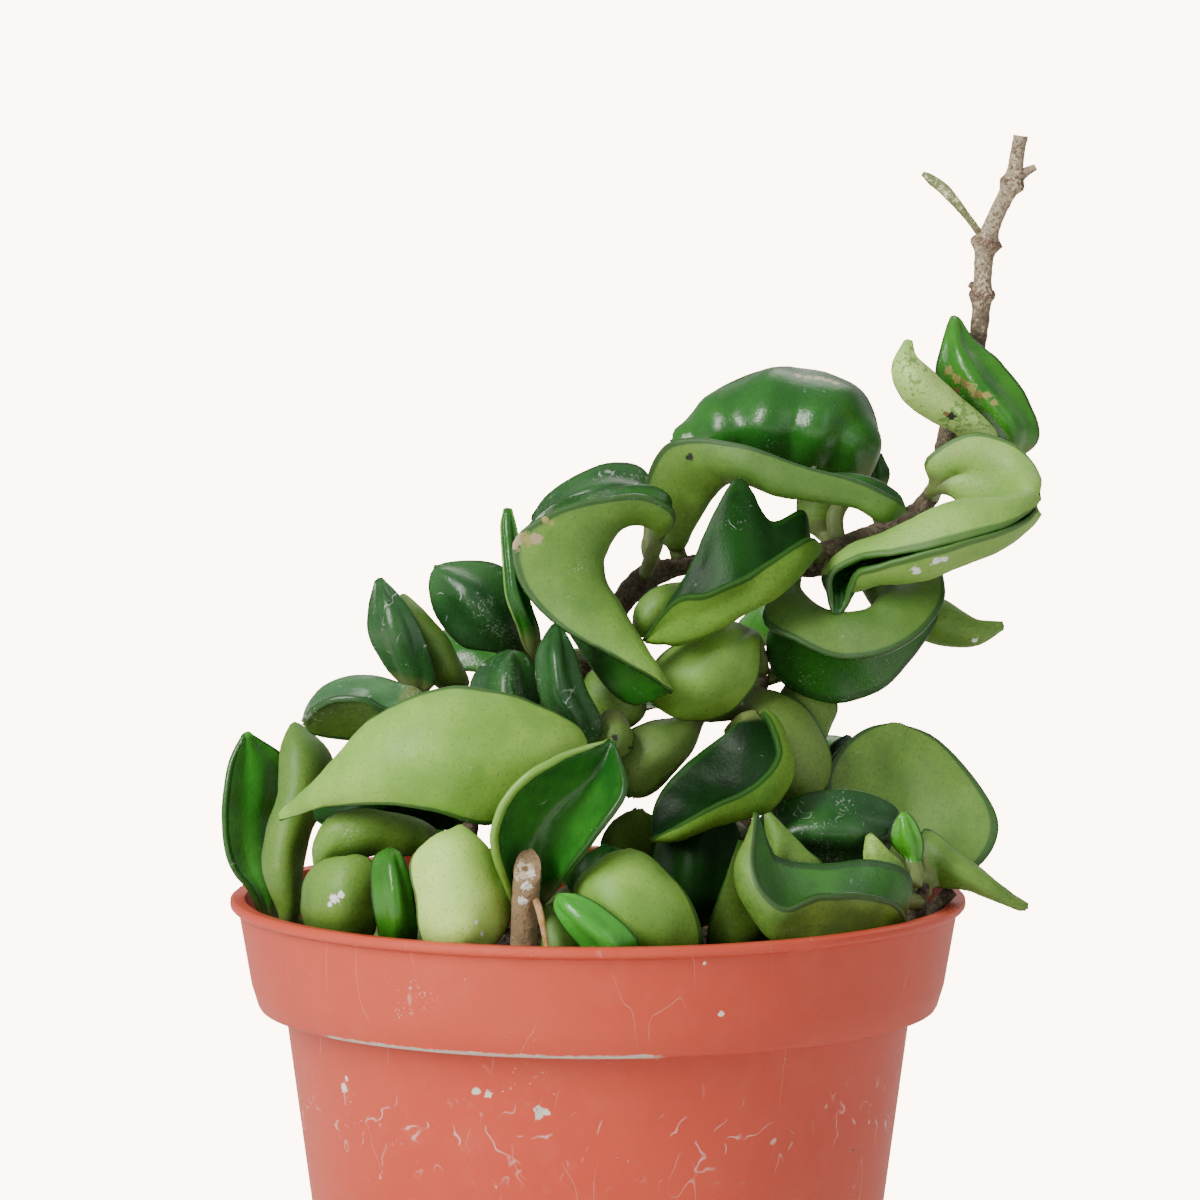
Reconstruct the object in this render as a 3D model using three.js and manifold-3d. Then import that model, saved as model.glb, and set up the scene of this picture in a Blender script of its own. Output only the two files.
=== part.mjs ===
// A hindu rope plant, a trailing plant with thick folded and curled leaves, in a plastic nursery pot.
// Millimetres, +Z up. The origin is the centre of the pot's base, and the front faces -Y.
import * as THREE from "three";
import { mergeVertices } from "three/addons/utils/BufferGeometryUtils.js";
import Module from "manifold-3d";

const wasm = await Module();
wasm.setup();

// The pot.
const POT_HEIGHT = 90;
const RIM_RADIUS = 52.5;
const BAND_RADIUS = 51.3;
const BAND_STEP_Z = 78;
const BAND_BOTTOM_Z = 74.2;
const BODY_TOP_RADIUS = 44.6;
const BASE_RADIUS = 35;
const WALL = 1.1;
const FLOOR = 1.6;
const POT_SEGMENTS = 40;
const DRAIN_RADIUS = 3.2;
const DRAIN_CIRCLE = 20;
const DRAIN_COUNT = 5;

// The soil.
const SOIL_LEVEL = 79.4;
const SOIL_BUMP = 0.6;
const SOIL_GAP = 0.35;
const SOIL_RINGS = 5;
const SOIL_SEGMENTS = 30;

// The plant.
const LEAF_THICKNESS = 2.0;
const EDGE_THICKNESS = 0.9;
const LEAST_THICKNESS = 0.66;
const FOLD_SHARE = 0.5;
const BEND_SHARE = 0.6;
const STALK_HALF_WIDTH = 1.15;
const STALK_THICKNESS = 2.1;
const TIP_HALF_WIDTH = 0.45;
const SAMPLE_STEP = 3.84;
const STEM_SIDES = 8;
const SEAT_GAP = 0.3;

// Leaves and stems are laid out as the eye of someone in front of the plant sees them: [x, z, y], where x
// and z are read in the upright plane through the pot's axis, and y is how far behind it the point lies.
const EYE = new THREE.Vector3(0, -990.146, 230.037);

function seen(point) {
  if (point.isVector3) return point.clone();
  const [x, z, y] = point;
  const share = 1 + y / -EYE.y;
  return new THREE.Vector3(x, 0, z).sub(EYE).multiplyScalar(share).add(EYE);
}

const LEAVES = [];
const STEMS = {};

// A point on a smooth curve through the points, u counted in points.
function along(points, u) {
  const last = points.length - 1;
  const i = Math.min(Math.floor(u), last - 1);
  const f = u - i;
  const p1 = points[i];
  const p2 = points[i + 1];
  const p0 = i > 0 ? points[i - 1] : p1.clone().multiplyScalar(2).sub(p2);
  const p3 = i + 2 <= last ? points[i + 2] : p2.clone().multiplyScalar(2).sub(p1);
  const weights = [
    -0.5 * f * f * f + f * f - 0.5 * f,
    1.5 * f * f * f - 2.5 * f * f + 1,
    -1.5 * f * f * f + 2 * f * f + 0.5 * f,
    0.5 * f * f * f - 0.5 * f * f,
  ];
  const out = new THREE.Vector3();
  [p0, p1, p2, p3].forEach((p, k) => out.addScaledVector(p, weights[k]));
  return out;
}

// The direction from one edge to the other of a narrow stretch next to a station, whichever way that
// station is folded.
function acrossOf(station, forward, given) {
  const [one, rib, two] = [station[0], station[2], station[4]];
  const across = given ?? two.clone().sub(rib).normalize().sub(one.clone().sub(rib).normalize());
  const way = forward.clone().normalize();
  return across.clone().addScaledVector(way, -across.dot(way)).normalize();
}

// The five lines of a leaf from its stalk to its tip: one edge, the middle of that half, the rib, the
// middle of the other half and the other edge. The stalk's stations come first, then the blade's, then
// the tip.
function leafLines(spec) {
  const one = spec.one.map(seen);
  const rib = spec.rib.map(seen);
  const two = spec.two.map(seen);
  const tip = seen(spec.tip);
  const stalk = (spec.stalk ?? []).map(seen);
  if (spec.stem) {
    const stem = STEMS[spec.stem];
    const from = along(stem.points, spec.at);
    const towards = stalk[0].clone().sub(from).normalize();
    const grain = from.clone().sub(along(stem.points, spec.at - 0.1)).normalize();
    const outwards = towards.clone().addScaledVector(grain, -towards.dot(grain));
    const way = outwards.length() > 0.4 ? outwards.normalize() : towards;
    stalk.unshift(from.addScaledVector(way, along(stem.radii, spec.at).x + SEAT_GAP + 0.35));
  }
  const cup = spec.cup ?? [0.1, 0.1];
  const blade = one.map((edge, k) => {
    const before = rib[k - 1] ?? stalk[stalk.length - 1] ?? rib[k];
    const after = rib[k + 1] ?? tip;
    const forward = after.clone().sub(before).normalize();
    const spread = two[k].clone().sub(edge);
    const dark = spread.cross(forward).multiplyScalar(leafSign(spec));
    const bulge = (end, given, share) => {
      if (given) return seen(given[k]);
      const width = end.distanceTo(rib[k]);
      const out = forward.clone().cross(end.clone().sub(rib[k])).normalize();
      if (out.dot(dark) > 0) out.negate();
      return end.clone().add(rib[k]).multiplyScalar(0.5).addScaledVector(out, share * width);
    };
    return [edge, bulge(edge, spec.oneMid, cup[0]), rib[k], bulge(two[k], spec.twoMid, cup[1]), two[k]];
  });
  const stations = [];
  const centre = rib[0];
  stalk.forEach((p, k) => {
    const after = stalk[k + 1] ?? centre;
    const forward = after.clone().sub(stalk[k - 1] ?? p);
    const across = spec.across ? new THREE.Vector3(spec.across[0], spec.across[2], spec.across[1]) : null;
    const side = acrossOf(blade[0], forward, across).multiplyScalar(STALK_HALF_WIDTH);
    stations.push([-1, -0.6, 0, 0.6, 1].map((s) => p.clone().addScaledVector(side, s)));
  });
  stations.push(...blade);
  const last = blade[blade.length - 1];
  const end = acrossOf(last, tip.clone().sub(last[2])).multiplyScalar(TIP_HALF_WIDTH);
  stations.push([-1, -0.5, 0, 0.5, 1].map((s) => tip.clone().addScaledVector(end, s)));
  return { stations, stalkCount: stalk.length };
}

// The direction of a line at one of its points.
function directionAt(before, p, after) {
  const way = new THREE.Vector3();
  if (before) way.add(p.clone().sub(before).normalize());
  if (after) way.add(after.clone().sub(p).normalize());
  return way;
}

// How thick a sheet may be at a point where its line turns, so that its inner face keeps its order.
function bendLimit(before, p, after) {
  if (!before || !after) return Infinity;
  const a = p.clone().sub(before);
  const b = after.clone().sub(p);
  const turn = a.angleTo(b);
  return turn < 0.05 ? Infinity : (BEND_SHARE * Math.min(a.length(), b.length())) / Math.tan(turn / 2);
}

// One closed leaf: the middle surface, thickened to a dark upper face and a pale lower face.
function leafGeometry(spec) {
  const { stations, stalkCount } = leafLines(spec);
  const lines = [0, 1, 2, 3, 4].map((j) => stations.map((s) => s[j]));
  const spans = stations.length - 1;
  let length = 0;
  for (let k = 0; k < spans; k += 1) length += stations[k][2].distanceTo(stations[k + 1][2]);
  const count = spec.rows ?? THREE.MathUtils.clamp(Math.round(length / SAMPLE_STEP), 6, spec.most ?? 14);
  const rows = [];
  for (let i = 0; i <= count; i += 1) {
    const u = (i / count) * spans;
    rows.push(lines.map((line) => along(line, u)));
  }
  const sign = leafSign(spec);
  const thick = (spec.thick ?? 1) * LEAF_THICKNESS;
  const upper = [];
  const lower = [];
  rows.forEach((row, i) => {
    const u = (i / count) * spans;
    const stalkShare = THREE.MathUtils.clamp(stalkCount - 0.2 - u, 0, 1);
    row.forEach((p, j) => {
      const forward = directionAt(rows[i - 1]?.[j], p, rows[i + 1]?.[j]);
      const across = directionAt(row[j - 1], p, row[j + 1]);
      const normal = across.cross(forward).normalize().multiplyScalar(sign);
      const side = Math.abs(j - 2) / 2;
      const bladeThickness = THREE.MathUtils.lerp(thick, EDGE_THICKNESS, side * side);
      const stalkThickness = STALK_THICKNESS * Math.sqrt(1 - 0.75 * side * side);
      const tipShare = THREE.MathUtils.clamp((u - spans + 1.1) / 1.1, 0, 1);
      const opening = FOLD_SHARE * (j === 2 ? row[1].distanceTo(row[3]) : row[j].distanceTo(row[4 - j]));
      const bend = bendLimit(rows[i - 1]?.[j], p, rows[i + 1]?.[j]);
      const crease = bendLimit(row[j - 1], p, row[j + 1]);
      const foldedThickness = Math.max(Math.min(bladeThickness, opening, bend, crease), LEAST_THICKNESS);
      let depth = THREE.MathUtils.lerp(foldedThickness, stalkThickness, stalkShare);
      depth = THREE.MathUtils.lerp(depth, EDGE_THICKNESS, tipShare * tipShare);
      upper.push(p.clone().addScaledVector(normal, depth / 2));
      lower.push(p.clone().addScaledVector(normal, -depth / 2));
    });
  });
  const at = (i, j) => i * 5 + j;
  const faces = [];
  const add = (a, b, c) => faces.push(sign > 0 ? [a, b, c] : [a, c, b]);
  for (let i = 0; i < count; i += 1) {
    for (let j = 0; j < 4; j += 1) {
      const [a, b, c, d] = [at(i, j), at(i, j + 1), at(i + 1, j + 1), at(i + 1, j)];
      const down = rows[i][j].distanceTo(rows[i + 1][j + 1]) < rows[i][j + 1].distanceTo(rows[i + 1][j]);
      const halves = down ? [[a, b, c], [a, c, d]] : [[a, b, d], [b, c, d]];
      for (const [p, q, r] of halves) {
        add(upper[p], upper[q], upper[r]);
        add(lower[p], lower[r], lower[q]);
      }
    }
  }
  const wall = (p, q) => {
    add(upper[q], upper[p], lower[p]);
    add(upper[q], lower[p], lower[q]);
  };
  for (let i = 0; i < count; i += 1) {
    wall(at(i + 1, 0), at(i, 0));
    wall(at(i, 4), at(i + 1, 4));
  }
  for (let j = 0; j < 4; j += 1) {
    wall(at(0, j), at(0, j + 1));
    wall(at(count, j + 1), at(count, j));
  }
  return solidGeometry(faces);
}

// Which way round the edges run: 1 where the first half shows its dark face to someone in front, in the
// order given, and -1 where the order has to be turned.
function leafSign(spec) {
  if (spec.sign) return spec.sign;
  const k = Math.floor(spec.rib.length / 2);
  const before = seen(spec.rib[k - 1] ?? spec.stalk[spec.stalk.length - 1]);
  const after = seen(spec.rib[k + 1] ?? spec.tip);
  const across = seen(spec.rib[k]).sub(seen(spec.one[k]));
  const normal = across.cross(after.sub(before));
  const darkSeen = normal.dot(EYE.clone().sub(seen(spec.rib[k]))) > 0;
  return darkSeen === (spec.shows === "dark") ? 1 : -1;
}

// A geometry from triangles given as triples of points, with shared corners merged.
function solidGeometry(faces) {
  const positions = new Float32Array(faces.length * 9);
  faces.forEach((face, i) => face.forEach((p, j) => p.toArray(positions, i * 9 + j * 3)));
  const geometry = new THREE.BufferGeometry();
  geometry.setAttribute("position", new THREE.BufferAttribute(positions, 3));
  return mergeVertices(geometry, 1e-4);
}

// The stems: points of the centre line with the radius as a fourth number.
const STEM_TABLE = {
  main_vine: [
    [-6, 70, 6, 1.7], [-7.5, 86, 7, 1.6], [-8, 100, 8, 1.5], [-6, 112, 8, 1.5], [-2, 122.5, 5, 1.5],
    [2.6, 130.6, 2, 1.6], [6.5, 135.2, 1, 1.9], [11.5, 137, 2, 1.4], [17.4, 137.8, 3, 1.3],
    [25, 137.6, 2, 1.5], [31.2, 137.9, 0, 2.3], [37, 140.6, 2, 1.7], [43.2, 143.4, 4, 1.4],
    [47.6, 147.6, 7, 1.3], [49, 153.5, 10, 1.3], [50.6, 160.5, 13, 1.3], [53.4, 167.2, 14, 1.25],
    [54.2, 172.5, 14, 1.35], [54.4, 175.2, 14, 1.75], [54.5, 178.5, 14, 1.2], [55, 183, 14, 2.2],
    [56.6, 187.5, 14, 1.15], [58.6, 191.6, 14, 1.6], [59.2, 195, 14, 0.95], [59.7, 198.2, 14, 1.0],
  ],
  left_vine: [
    [-33, 70, 0, 1.6], [-32, 88, -4, 1.5], [-29, 100, -6, 1.4], [-25.5, 110, -7, 1.3], [-22, 117, -7, 1.2],
  ],
  front_vine: [
    [-1, 70, -16, 1.5], [-2.5, 84, -19, 1.4], [-3.5, 94, -20, 1.4], [-3, 103, -17, 1.3],
    [0.5, 111, -12, 1.1],
  ],
  middle_vine: [
    [16, 70, 0, 1.6], [17.5, 88, 0, 1.5], [19, 103, 0, 1.4], [21.5, 114, 0, 1.4], [23.5, 121.5, 0, 1.2],
  ],
  right_vine: [
    [40, 70, -8, 1.4], [42.8, 82, -11.6, 1.05], [45.8, 88, -14.6, 1.0], [46.6, 91.2, -16.6, 0.85],
  ],
};

// The leaves. stalk, one, rib, two and tip are seen points. shows says which face the first half turns to
// the front.
const LEAF_TABLE = {
  leaf_left_outer: {
    shows: "dark", stem: "left_vine", at: 0.9, stalk: [[-40, 83, 2], [-46.2, 85, 3]],
    one: [[-49.5, 90.4, 0], [-52.6, 95, -1], [-53.4, 101, -1], [-52.6, 108, 0]],
    rib: [[-47.4, 90, 2.5], [-48.4, 95, 3], [-48.7, 101, 3.5], [-48.4, 107.5, 3.5]],
    two: [[-44.8, 89.5, 5], [-44, 95, 7], [-43.6, 101, 8], [-43.8, 108.6, 7]],
    tip: [-50.2, 113.2, 2],
  },
  leaf_left_twisted: {
    rows: 7, shows: "pale", stem: "left_vine", at: 1.15, stalk: [[-38, 85, -9], [-43.4, 85.6, -12]],
    one: [[-45.4, 88, -12], [-47.5, 94, -12], [-47, 99, -11], [-45.4, 104, -10], [-45, 110.5, -9]],
    rib: [[-44, 88.5, -15], [-45, 94, -16], [-44.3, 99.5, -15], [-42.9, 105, -14], [-42.6, 110.5, -12]],
    two: [[-42.8, 89, -11], [-42.3, 94, -10.5], [-41, 99.5, -10], [-38.8, 104.5, -9], [-38.2, 109.8, -8]],
    tip: [-43.2, 114.6, -8],
  },
  leaf_front_arch: {
    shows: "pale", stem: "front_vine", at: 3.6, stalk: [[-2.6, 108.4, -21.4]],
    one: [[-3, 113.8, -27], [-12, 118.3, -31], [-22, 119.4, -33], [-32, 115, -32], [-40, 106.2, -27]],
    rib: [[-4, 110.5, -31], [-13, 110, -37], [-23, 110.5, -40], [-32, 109, -37], [-40, 104.4, -29.5]],
    two: [[-6, 106.5, -30], [-15, 100.4, -35], [-24, 102.4, -38], [-32, 103.2, -36], [-39.5, 102.7, -29]],
    tip: [-45.3, 101.2, -23],
  },
  leaf_front_fold: {
    shows: "dark", stem: "front_vine", at: 1.65, stalk: [[-9.5, 87, -36]],
    one: [[-13.4, 92, -43], [-15, 98.5, -47.5], [-12.6, 104.5, -48], [-7, 109, -46.5]],
    rib: [[-8.6, 92, -38], [-9.4, 97.5, -38.5], [-5.8, 102.7, -39], [-0.2, 107.7, -39.5]],
    two: [[-4.4, 93, -42.5], [0, 98.8, -45.5], [3.3, 103.3, -46], [3.9, 107, -44]],
    tip: [1.9, 112, -39],
  },
  leaf_left_hook: {
    shows: "pale", stem: "left_vine", at: 2.0, stalk: [[-24, 98.5, -22]],
    one: [[-26, 100.6, -22.5], [-32, 101.9, -24.5], [-37.5, 101.3, -25], [-40.3, 97.5, -24.5]],
    rib: [[-26, 98.5, -25], [-32, 99.5, -27.5], [-36.5, 99.3, -28], [-39.3, 96.5, -26.5]],
    two: [[-26, 96, -23], [-32, 95.8, -25], [-34.5, 95.3, -24], [-38, 94.3, -23.6]],
    tip: [-40, 93.4, -24],
  },
  leaf_left_inner: {
    shows: "dark", stem: "left_vine", at: 2.4, stalk: [[-17.4, 104.6, -13]],
    one: [[-22, 106.8, -13.4], [-29, 106.9, -15.6], [-34, 106, -17.4], [-38, 104.5, -18]],
    rib: [[-21.6, 103, -15.6], [-28, 103, -19], [-33, 102.5, -21], [-37, 101.5, -20.5]],
    two: [[-21, 99.6, -12], [-27.5, 100.8, -15.4], [-32, 98.5, -18.6], [-36, 98.5, -18.5]],
    tip: [-40.5, 101.3, -18],
  },
  leaf_front_low_left: {
    shows: "pale", stem: "left_vine", at: 0.62, stalk: [[-36, 81, -20]],
    one: [[-41.6, 86, -24], [-42, 90, -25.5], [-40.7, 93.2, -26]],
    rib: [[-36.8, 85, -30], [-36.8, 90, -33], [-36.5, 94, -31]],
    two: [[-32, 85, -29], [-32.4, 90, -31], [-32.4, 94.3, -30]],
    tip: [-35.5, 95.3, -28],
  },
  leaf_front_band: {
    shows: "dark", stem: "left_vine", at: 0.82, stalk: [[-28.5, 79.5, -26]],
    one: [[-31, 84, -35.5], [-32, 90, -37], [-32, 94.6, -36]],
    rib: [[-28.6, 84, -38.5], [-29, 90, -40.5], [-29.7, 94.8, -38.5]],
    two: [[-26, 84, -36.5], [-26.5, 90, -38], [-27.9, 95, -37]],
    tip: [-29.8, 96.4, -35],
  },
  leaf_front_round: {
    shows: "pale", stem: "left_vine", at: 1.05, stalk: [[-21, 80, -31]],
    one: [[-25, 84, -39.5], [-25.8, 90, -41], [-26.2, 95.4, -39.5]],
    rib: [[-19.5, 83, -44], [-19.5, 90, -45], [-20.5, 97, -42]],
    two: [[-14.2, 84, -38.6], [-12.6, 88.7, -38], [-15, 95, -38.8]],
    tip: [-19.5, 99.8, -38],
  },
  leaf_front_sliver: {
    shows: "pale", stem: "front_vine", at: 0.78, stalk: [[-6, 78, -34]],
    one: [[-7.6, 81, -41], [-7.6, 85, -41.5]],
    rib: [[-5.4, 81, -43], [-6.4, 85, -43]],
    two: [[-2.6, 82, -41.5], [-4.8, 86, -41.5]],
    tip: [-7.4, 88.4, -41],
  },
  leaf_front_glossy: {
    shows: "dark", stem: "front_vine", at: 1.1, stalk: [[3, 78, -36]],
    one: [[0, 80, -44], [-4.4, 85, -45.3], [-6, 87.6, -44.6]],
    rib: [[2.6, 81.5, -47.3], [-1.5, 86, -47.8], [-4.4, 88.4, -46.3]],
    two: [[6, 82.4, -44.7], [2.1, 86.8, -45.2], [-2, 89.4, -44.6]],
    tip: [-5.7, 89.7, -43.8],
  },
  leaf_front_cupped: {
    shows: "pale", stem: "front_vine", at: 1.55, stalk: [[8, 82, -29]],
    one: [[-0.5, 84.5, -38], [-3.3, 90.3, -38], [-0.4, 94, -37]],
    rib: [[5, 83, -42], [3.2, 90, -43], [3.9, 94.6, -40]],
    two: [[14.5, 83, -36.5], [12.8, 89.2, -37.5], [8.7, 94, -37]],
    tip: [4.6, 96.4, -36],
  },
  leaf_upper_left_dark: {
    shows: "dark", stem: "left_vine", at: 3.5, stalk: [[-25.6, 118.6, -12.4]],
    one: [[-30.2, 123, -13], [-32.4, 127.4, -14], [-32.3, 131.4, -13]],
    rib: [[-27, 122.4, -15.5], [-28.6, 127.2, -17], [-30, 131.6, -15.5]],
    two: [[-23.3, 121, -14.5], [-24.9, 126.8, -15.5], [-27.6, 131.8, -14.5]],
    tip: [-31.2, 135.2, -12],
  },
  leaf_upper_left_pale: {
    shows: "pale", stem: "left_vine", at: 4, stalk: [[-21.2, 119.6, -8]],
    one: [[-24.2, 121.5, -10], [-27, 126.5, -10.5], [-28.8, 130, -10.5]],
    rib: [[-21.4, 121.5, -11.5], [-23.6, 126.4, -12], [-26.4, 130, -11.5]],
    two: [[-18.6, 120.5, -9], [-21.2, 125.8, -9.5], [-24.4, 130, -9.5]],
    tip: [-27.9, 132.8, -8.5],
  },
  leaf_left_hollow: {
    shows: "dark", stem: "left_vine", at: 3.0, stalk: [[-22.4, 111.6, -13.5], [-25.4, 118.2, -16]],
    one: [[-29.5, 116.2, -21], [-33.2, 117.8, -22], [-37.6, 117.9, -21], [-40.8, 116, -19]],
    rib: [[-28.5, 120, -16], [-33.2, 121, -15.5], [-38, 119.9, -15.5], [-41.2, 116.9, -15.5]],
    two: [[-29, 112.7, -10.5], [-34, 112.4, -10.5], [-38.6, 112.7, -12], [-41, 113.4, -13.5]],
    tip: [-41.9, 114.7, -16],
  },
  leaf_upper_round: {
    shows: "dark", stem: "main_vine", at: 3.5, stalk: [[-9, 122.5, -2]],
    one: [[-14, 124.8, -7.5], [-19.2, 125.8, -9], [-22.8, 130, -9], [-23.7, 134, -8]],
    rib: [[-12.2, 126.9, -9], [-16, 130.5, -12], [-19, 133.6, -12], [-21.6, 135.7, -10]],
    two: [[-11, 131, -8], [-11.5, 134.5, -8], [-14.5, 137.2, -8], [-19, 137.7, -7]],
    tip: [-23, 136.9, -7],
  },
  leaf_upper_sliver: {
    shows: "dark", stem: "main_vine", at: 4.2, thick: 0.6, stalk: [[-8.2, 124.6, -9.5]],
    one: [[-11.5, 129, -14.5], [-13, 133, -15.5], [-13.4, 138, -14.5], [-13.7, 142.6, -12]],
    rib: [[-10, 129, -15], [-11.7, 133.5, -16], [-12.3, 138.2, -15], [-12.8, 142.6, -12.5]],
    two: [[-8.8, 129, -13.4], [-10.6, 134, -14], [-11.3, 138.4, -13.5], [-11.6, 142.2, -12]],
    tip: [-12.8, 145.3, -11],
  },
  leaf_middle_round: {
    shows: "dark", stem: "main_vine", at: 3.2, stalk: [[-11, 114, -12]],
    one: [[-17.3, 117, -16], [-18, 120, -16.5], [-16.4, 122.8, -15.5]],
    rib: [[-12.5, 116, -20.5], [-13, 120, -21], [-13, 123, -18.5]],
    two: [[-8.6, 116.5, -15.5], [-8.8, 120.4, -15.5], [-9.9, 123.8, -14.5]],
    tip: [-12.6, 125, -14.5],
  },
  leaf_middle_wedge: {
    shows: "dark", stem: "front_vine", at: 2.8, stalk: [[-7.8, 105.4, -17.8]],
    one: [[-6.6, 113, -19.5], [-8.2, 119, -20.5], [-8.6, 124, -19.5]],
    rib: [[-3, 113, -22], [-5.2, 119, -24], [-6, 124.6, -22.5]],
    two: [[0.3, 113.4, -19], [-1.9, 119.4, -20.5], [-3.7, 125.2, -19]],
    tip: [-6, 128.6, -17],
  },
  leaf_behind_wedge: {
    shows: "pale", stem: "main_vine", at: 4.6, stalk: [[1.8, 123.6, -3]],
    one: [[-1.6, 120.8, -7], [-1.8, 117.5, -8]],
    rib: [[2, 120.7, -9], [2.4, 117, -10]],
    two: [[5.8, 119.8, -7], [6.5, 116.2, -8]],
    tip: [3, 113.2, -9],
  },
  leaf_crescent: {
    shows: "pale", stem: "main_vine", at: 6.0, most: 20, cup: [0.08, 0.06],
    stalk: [[7.6, 138.4, -3], [8.4, 141, -4.5]],
    one: [
      [10.9, 144.4, -11], [6.2, 147.1, -13], [-1, 146.4, -14], [-7.5, 144.2, -14.5], [-11.9, 140.3, -14.5],
      [-10.6, 134, -16], [-5, 128.2, -18], [2, 124.4, -19.5], [7.3, 121.3, -20],
    ],
    rib: [
      [7.4, 143, -8], [4.4, 143.3, -9.5], [1.6, 141.2, -10.5], [0.3, 138, -11.5], [0.9, 134.5, -12.5],
      [2.6, 131.3, -14], [4.7, 127.6, -16], [7.1, 124.1, -18], [9.2, 121.1, -19],
    ],
    two: [
      [10.3, 146.2, -6], [7.2, 148.4, -6.5], [0, 147.7, -6.5], [-6.6, 145.6, -7], [-10.5, 141, -7.5],
      [-9, 134.4, -8.5], [-3.4, 126.8, -10.5], [1.2, 120.3, -12.5], [5.5, 117.4, -14],
    ],
    tip: [10.5, 119.2, -18.5],
  },
  leaf_behind_crescent: {
    shows: "dark", stem: "main_vine", at: 6.4, stalk: [[7.2, 140, 4.5], [7.6, 144.6, 6]],
    one: [[6.6, 150.5, 8], [2.4, 151.7, 8], [-3, 149.8, 8], [-6.6, 147.2, 7]],
    rib: [[6, 147, 4], [1.5, 147.8, 3], [-3, 146.9, 3], [-6.6, 145.2, 4]],
    two: [[5.4, 144.6, 6], [1.2, 144.7, 6], [-3, 143.8, 6], [-6.4, 143.5, 6]],
    tip: [-9.2, 143.8, 7],
  },
  leaf_centre_fold: {
    rows: 12, shows: "pale", stem: "main_vine", at: 10, most: 17, cup: [0.16, 0.06], across: [-1, 0, 0.3],
    stalk: [[30.8, 139.4, -6]],
    one: [[29.8, 141, -15], [25, 138, -19], [20.5, 135.3, -21], [15.5, 133, -21], [11.2, 132.3, -19]],
    rib: [[29.2, 137.4, -13], [25.6, 133.4, -17], [20.5, 130.2, -19], [15, 127.2, -19], [10.6, 126, -17.5]],
    two: [
      [29, 144.8, -7.5], [24.3, 143.3, -11], [20.3, 149.4, -12.5], [16.8, 145, -13],
      [12.6, 135.8, -14],
    ],
    tip: [6.8, 126.5, -14.5],
  },
  leaf_centre_lobe: {
    shows: "pale", stem: "main_vine", at: 7.6, stalk: [[14.4, 134.2, -4]],
    one: [[9.5, 134.2, -9], [7, 133, -10], [5.5, 131, -10]],
    rib: [[9.8, 132, -10.5], [8, 130.6, -11.5], [6.8, 129, -11.5]],
    two: [[10, 129.6, -9.5], [8.6, 128.2, -10], [7.6, 127.2, -10]],
    tip: [5.6, 127.3, -10.5],
  },
  leaf_centre_broad: {
    shows: "pale", stem: "middle_vine", at: 4.0, stalk: [[22, 127, -5]],
    one: [[17, 129, -9], [11.8, 126, -9.5], [8.4, 123.4, -10], [7.4, 120.6, -10]],
    rib: [[19.6, 126, -13], [16, 122.3, -14], [13, 120, -14], [10.4, 118.8, -13]],
    two: [[22.7, 126, -8.5], [22.3, 120.5, -9], [18, 116, -9.5], [12.5, 115.5, -10]],
    tip: [8, 117.3, -11],
  },
  leaf_upper_hook: {
    rows: 8, shows: "pale", stem: "main_vine", at: 7.1, most: 17, cup: [0.08, 0.04],
    stalk: [[11.2, 139.6, 2.8]],
    one: [
      [8.4, 142, 3], [7, 148.5, 0], [10.5, 154.7, -6], [20, 154.4, -10], [29, 151.3, -10.5],
      [37, 149.2, -10], [41.9, 146.8, -9],
    ],
    rib: [
      [12.4, 140.6, 0.5], [15.3, 146, -2.5], [19, 149.3, -6], [25, 147.7, -9.5], [31.5, 146.7, -10],
      [37, 145.6, -9.5], [40.6, 143.6, -8],
    ],
    two: [
      [11.4, 142.6, 4], [10.4, 148.3, 4], [12.6, 152.5, 0], [20, 152.2, -5], [29.4, 150.4, -5.5],
      [37.6, 149.8, -5], [42.4, 147.4, -5],
    ],
    tip: [43.9, 144.9, -6.5],
  },
  leaf_upper_dome: {
    shows: "dark", stem: "main_vine", at: 10.5, most: 16, cup: [-0.14, -0.1],
    stalk: [[33.8, 144.6, 3.4], [36.4, 148, 4]],
    one: [[39.7, 155, 6], [36.4, 162.4, 7], [27, 165.2, 7], [18, 162.6, 7], [13, 158, 6]],
    rib: [[36.8, 154, 0], [32, 157, -3], [26, 157.8, -3], [19.4, 157, -2], [14, 155.3, 1]],
    two: [[34, 150.2, 3], [30, 150.7, 2], [25, 151.3, 2], [19, 152.5, 2], [14.5, 153, 3]],
    tip: [10.5, 154.4, 4],
  },
  leaf_upper_small: {
    shows: "dark", stem: "main_vine", at: 11.6, stalk: [[39.5, 146.5, 8]],
    one: [[38.6, 150, 9], [38.6, 151.8, 9]],
    rib: [[40, 150, 8], [39.8, 151.6, 8]],
    two: [[41.2, 150.2, 9], [40.8, 151.6, 9]],
    tip: [39.7, 153.2, 9],
  },
  leaf_behind_hook: {
    shows: "pale", stem: "main_vine", at: 10.6, stalk: [[32.4, 141.5, 5]],
    one: [[28.8, 143.4, 6], [28.6, 147.5, 7]],
    rib: [[31.5, 144.4, 5], [31.4, 147.8, 6]],
    two: [[34.4, 144.2, 7], [34.2, 147.5, 8]],
    tip: [31, 150, 9],
  },
  leaf_right_lobe: {
    shows: "pale", stem: "main_vine", at: 12.9, stalk: [[48, 148.4, 2]],
    one: [[46.8, 152.4, 0.6], [53, 155.9, -0.6], [59.2, 154.1, -2], [62.6, 150, -5]],
    rib: [[51, 150.4, 1], [54, 150.5, -0.4], [58, 149.8, -3], [61.2, 147.8, -8]],
    two: [[50.8, 146.8, 1], [53, 143.9, 1], [57, 143.6, -1.5], [60.4, 144.6, -6.5]],
    tip: [62.4, 146.4, -9.5],
  },
  leaf_right_long: {
    shows: "pale", joins: "leaf_right_lobe",
    one: [
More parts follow.
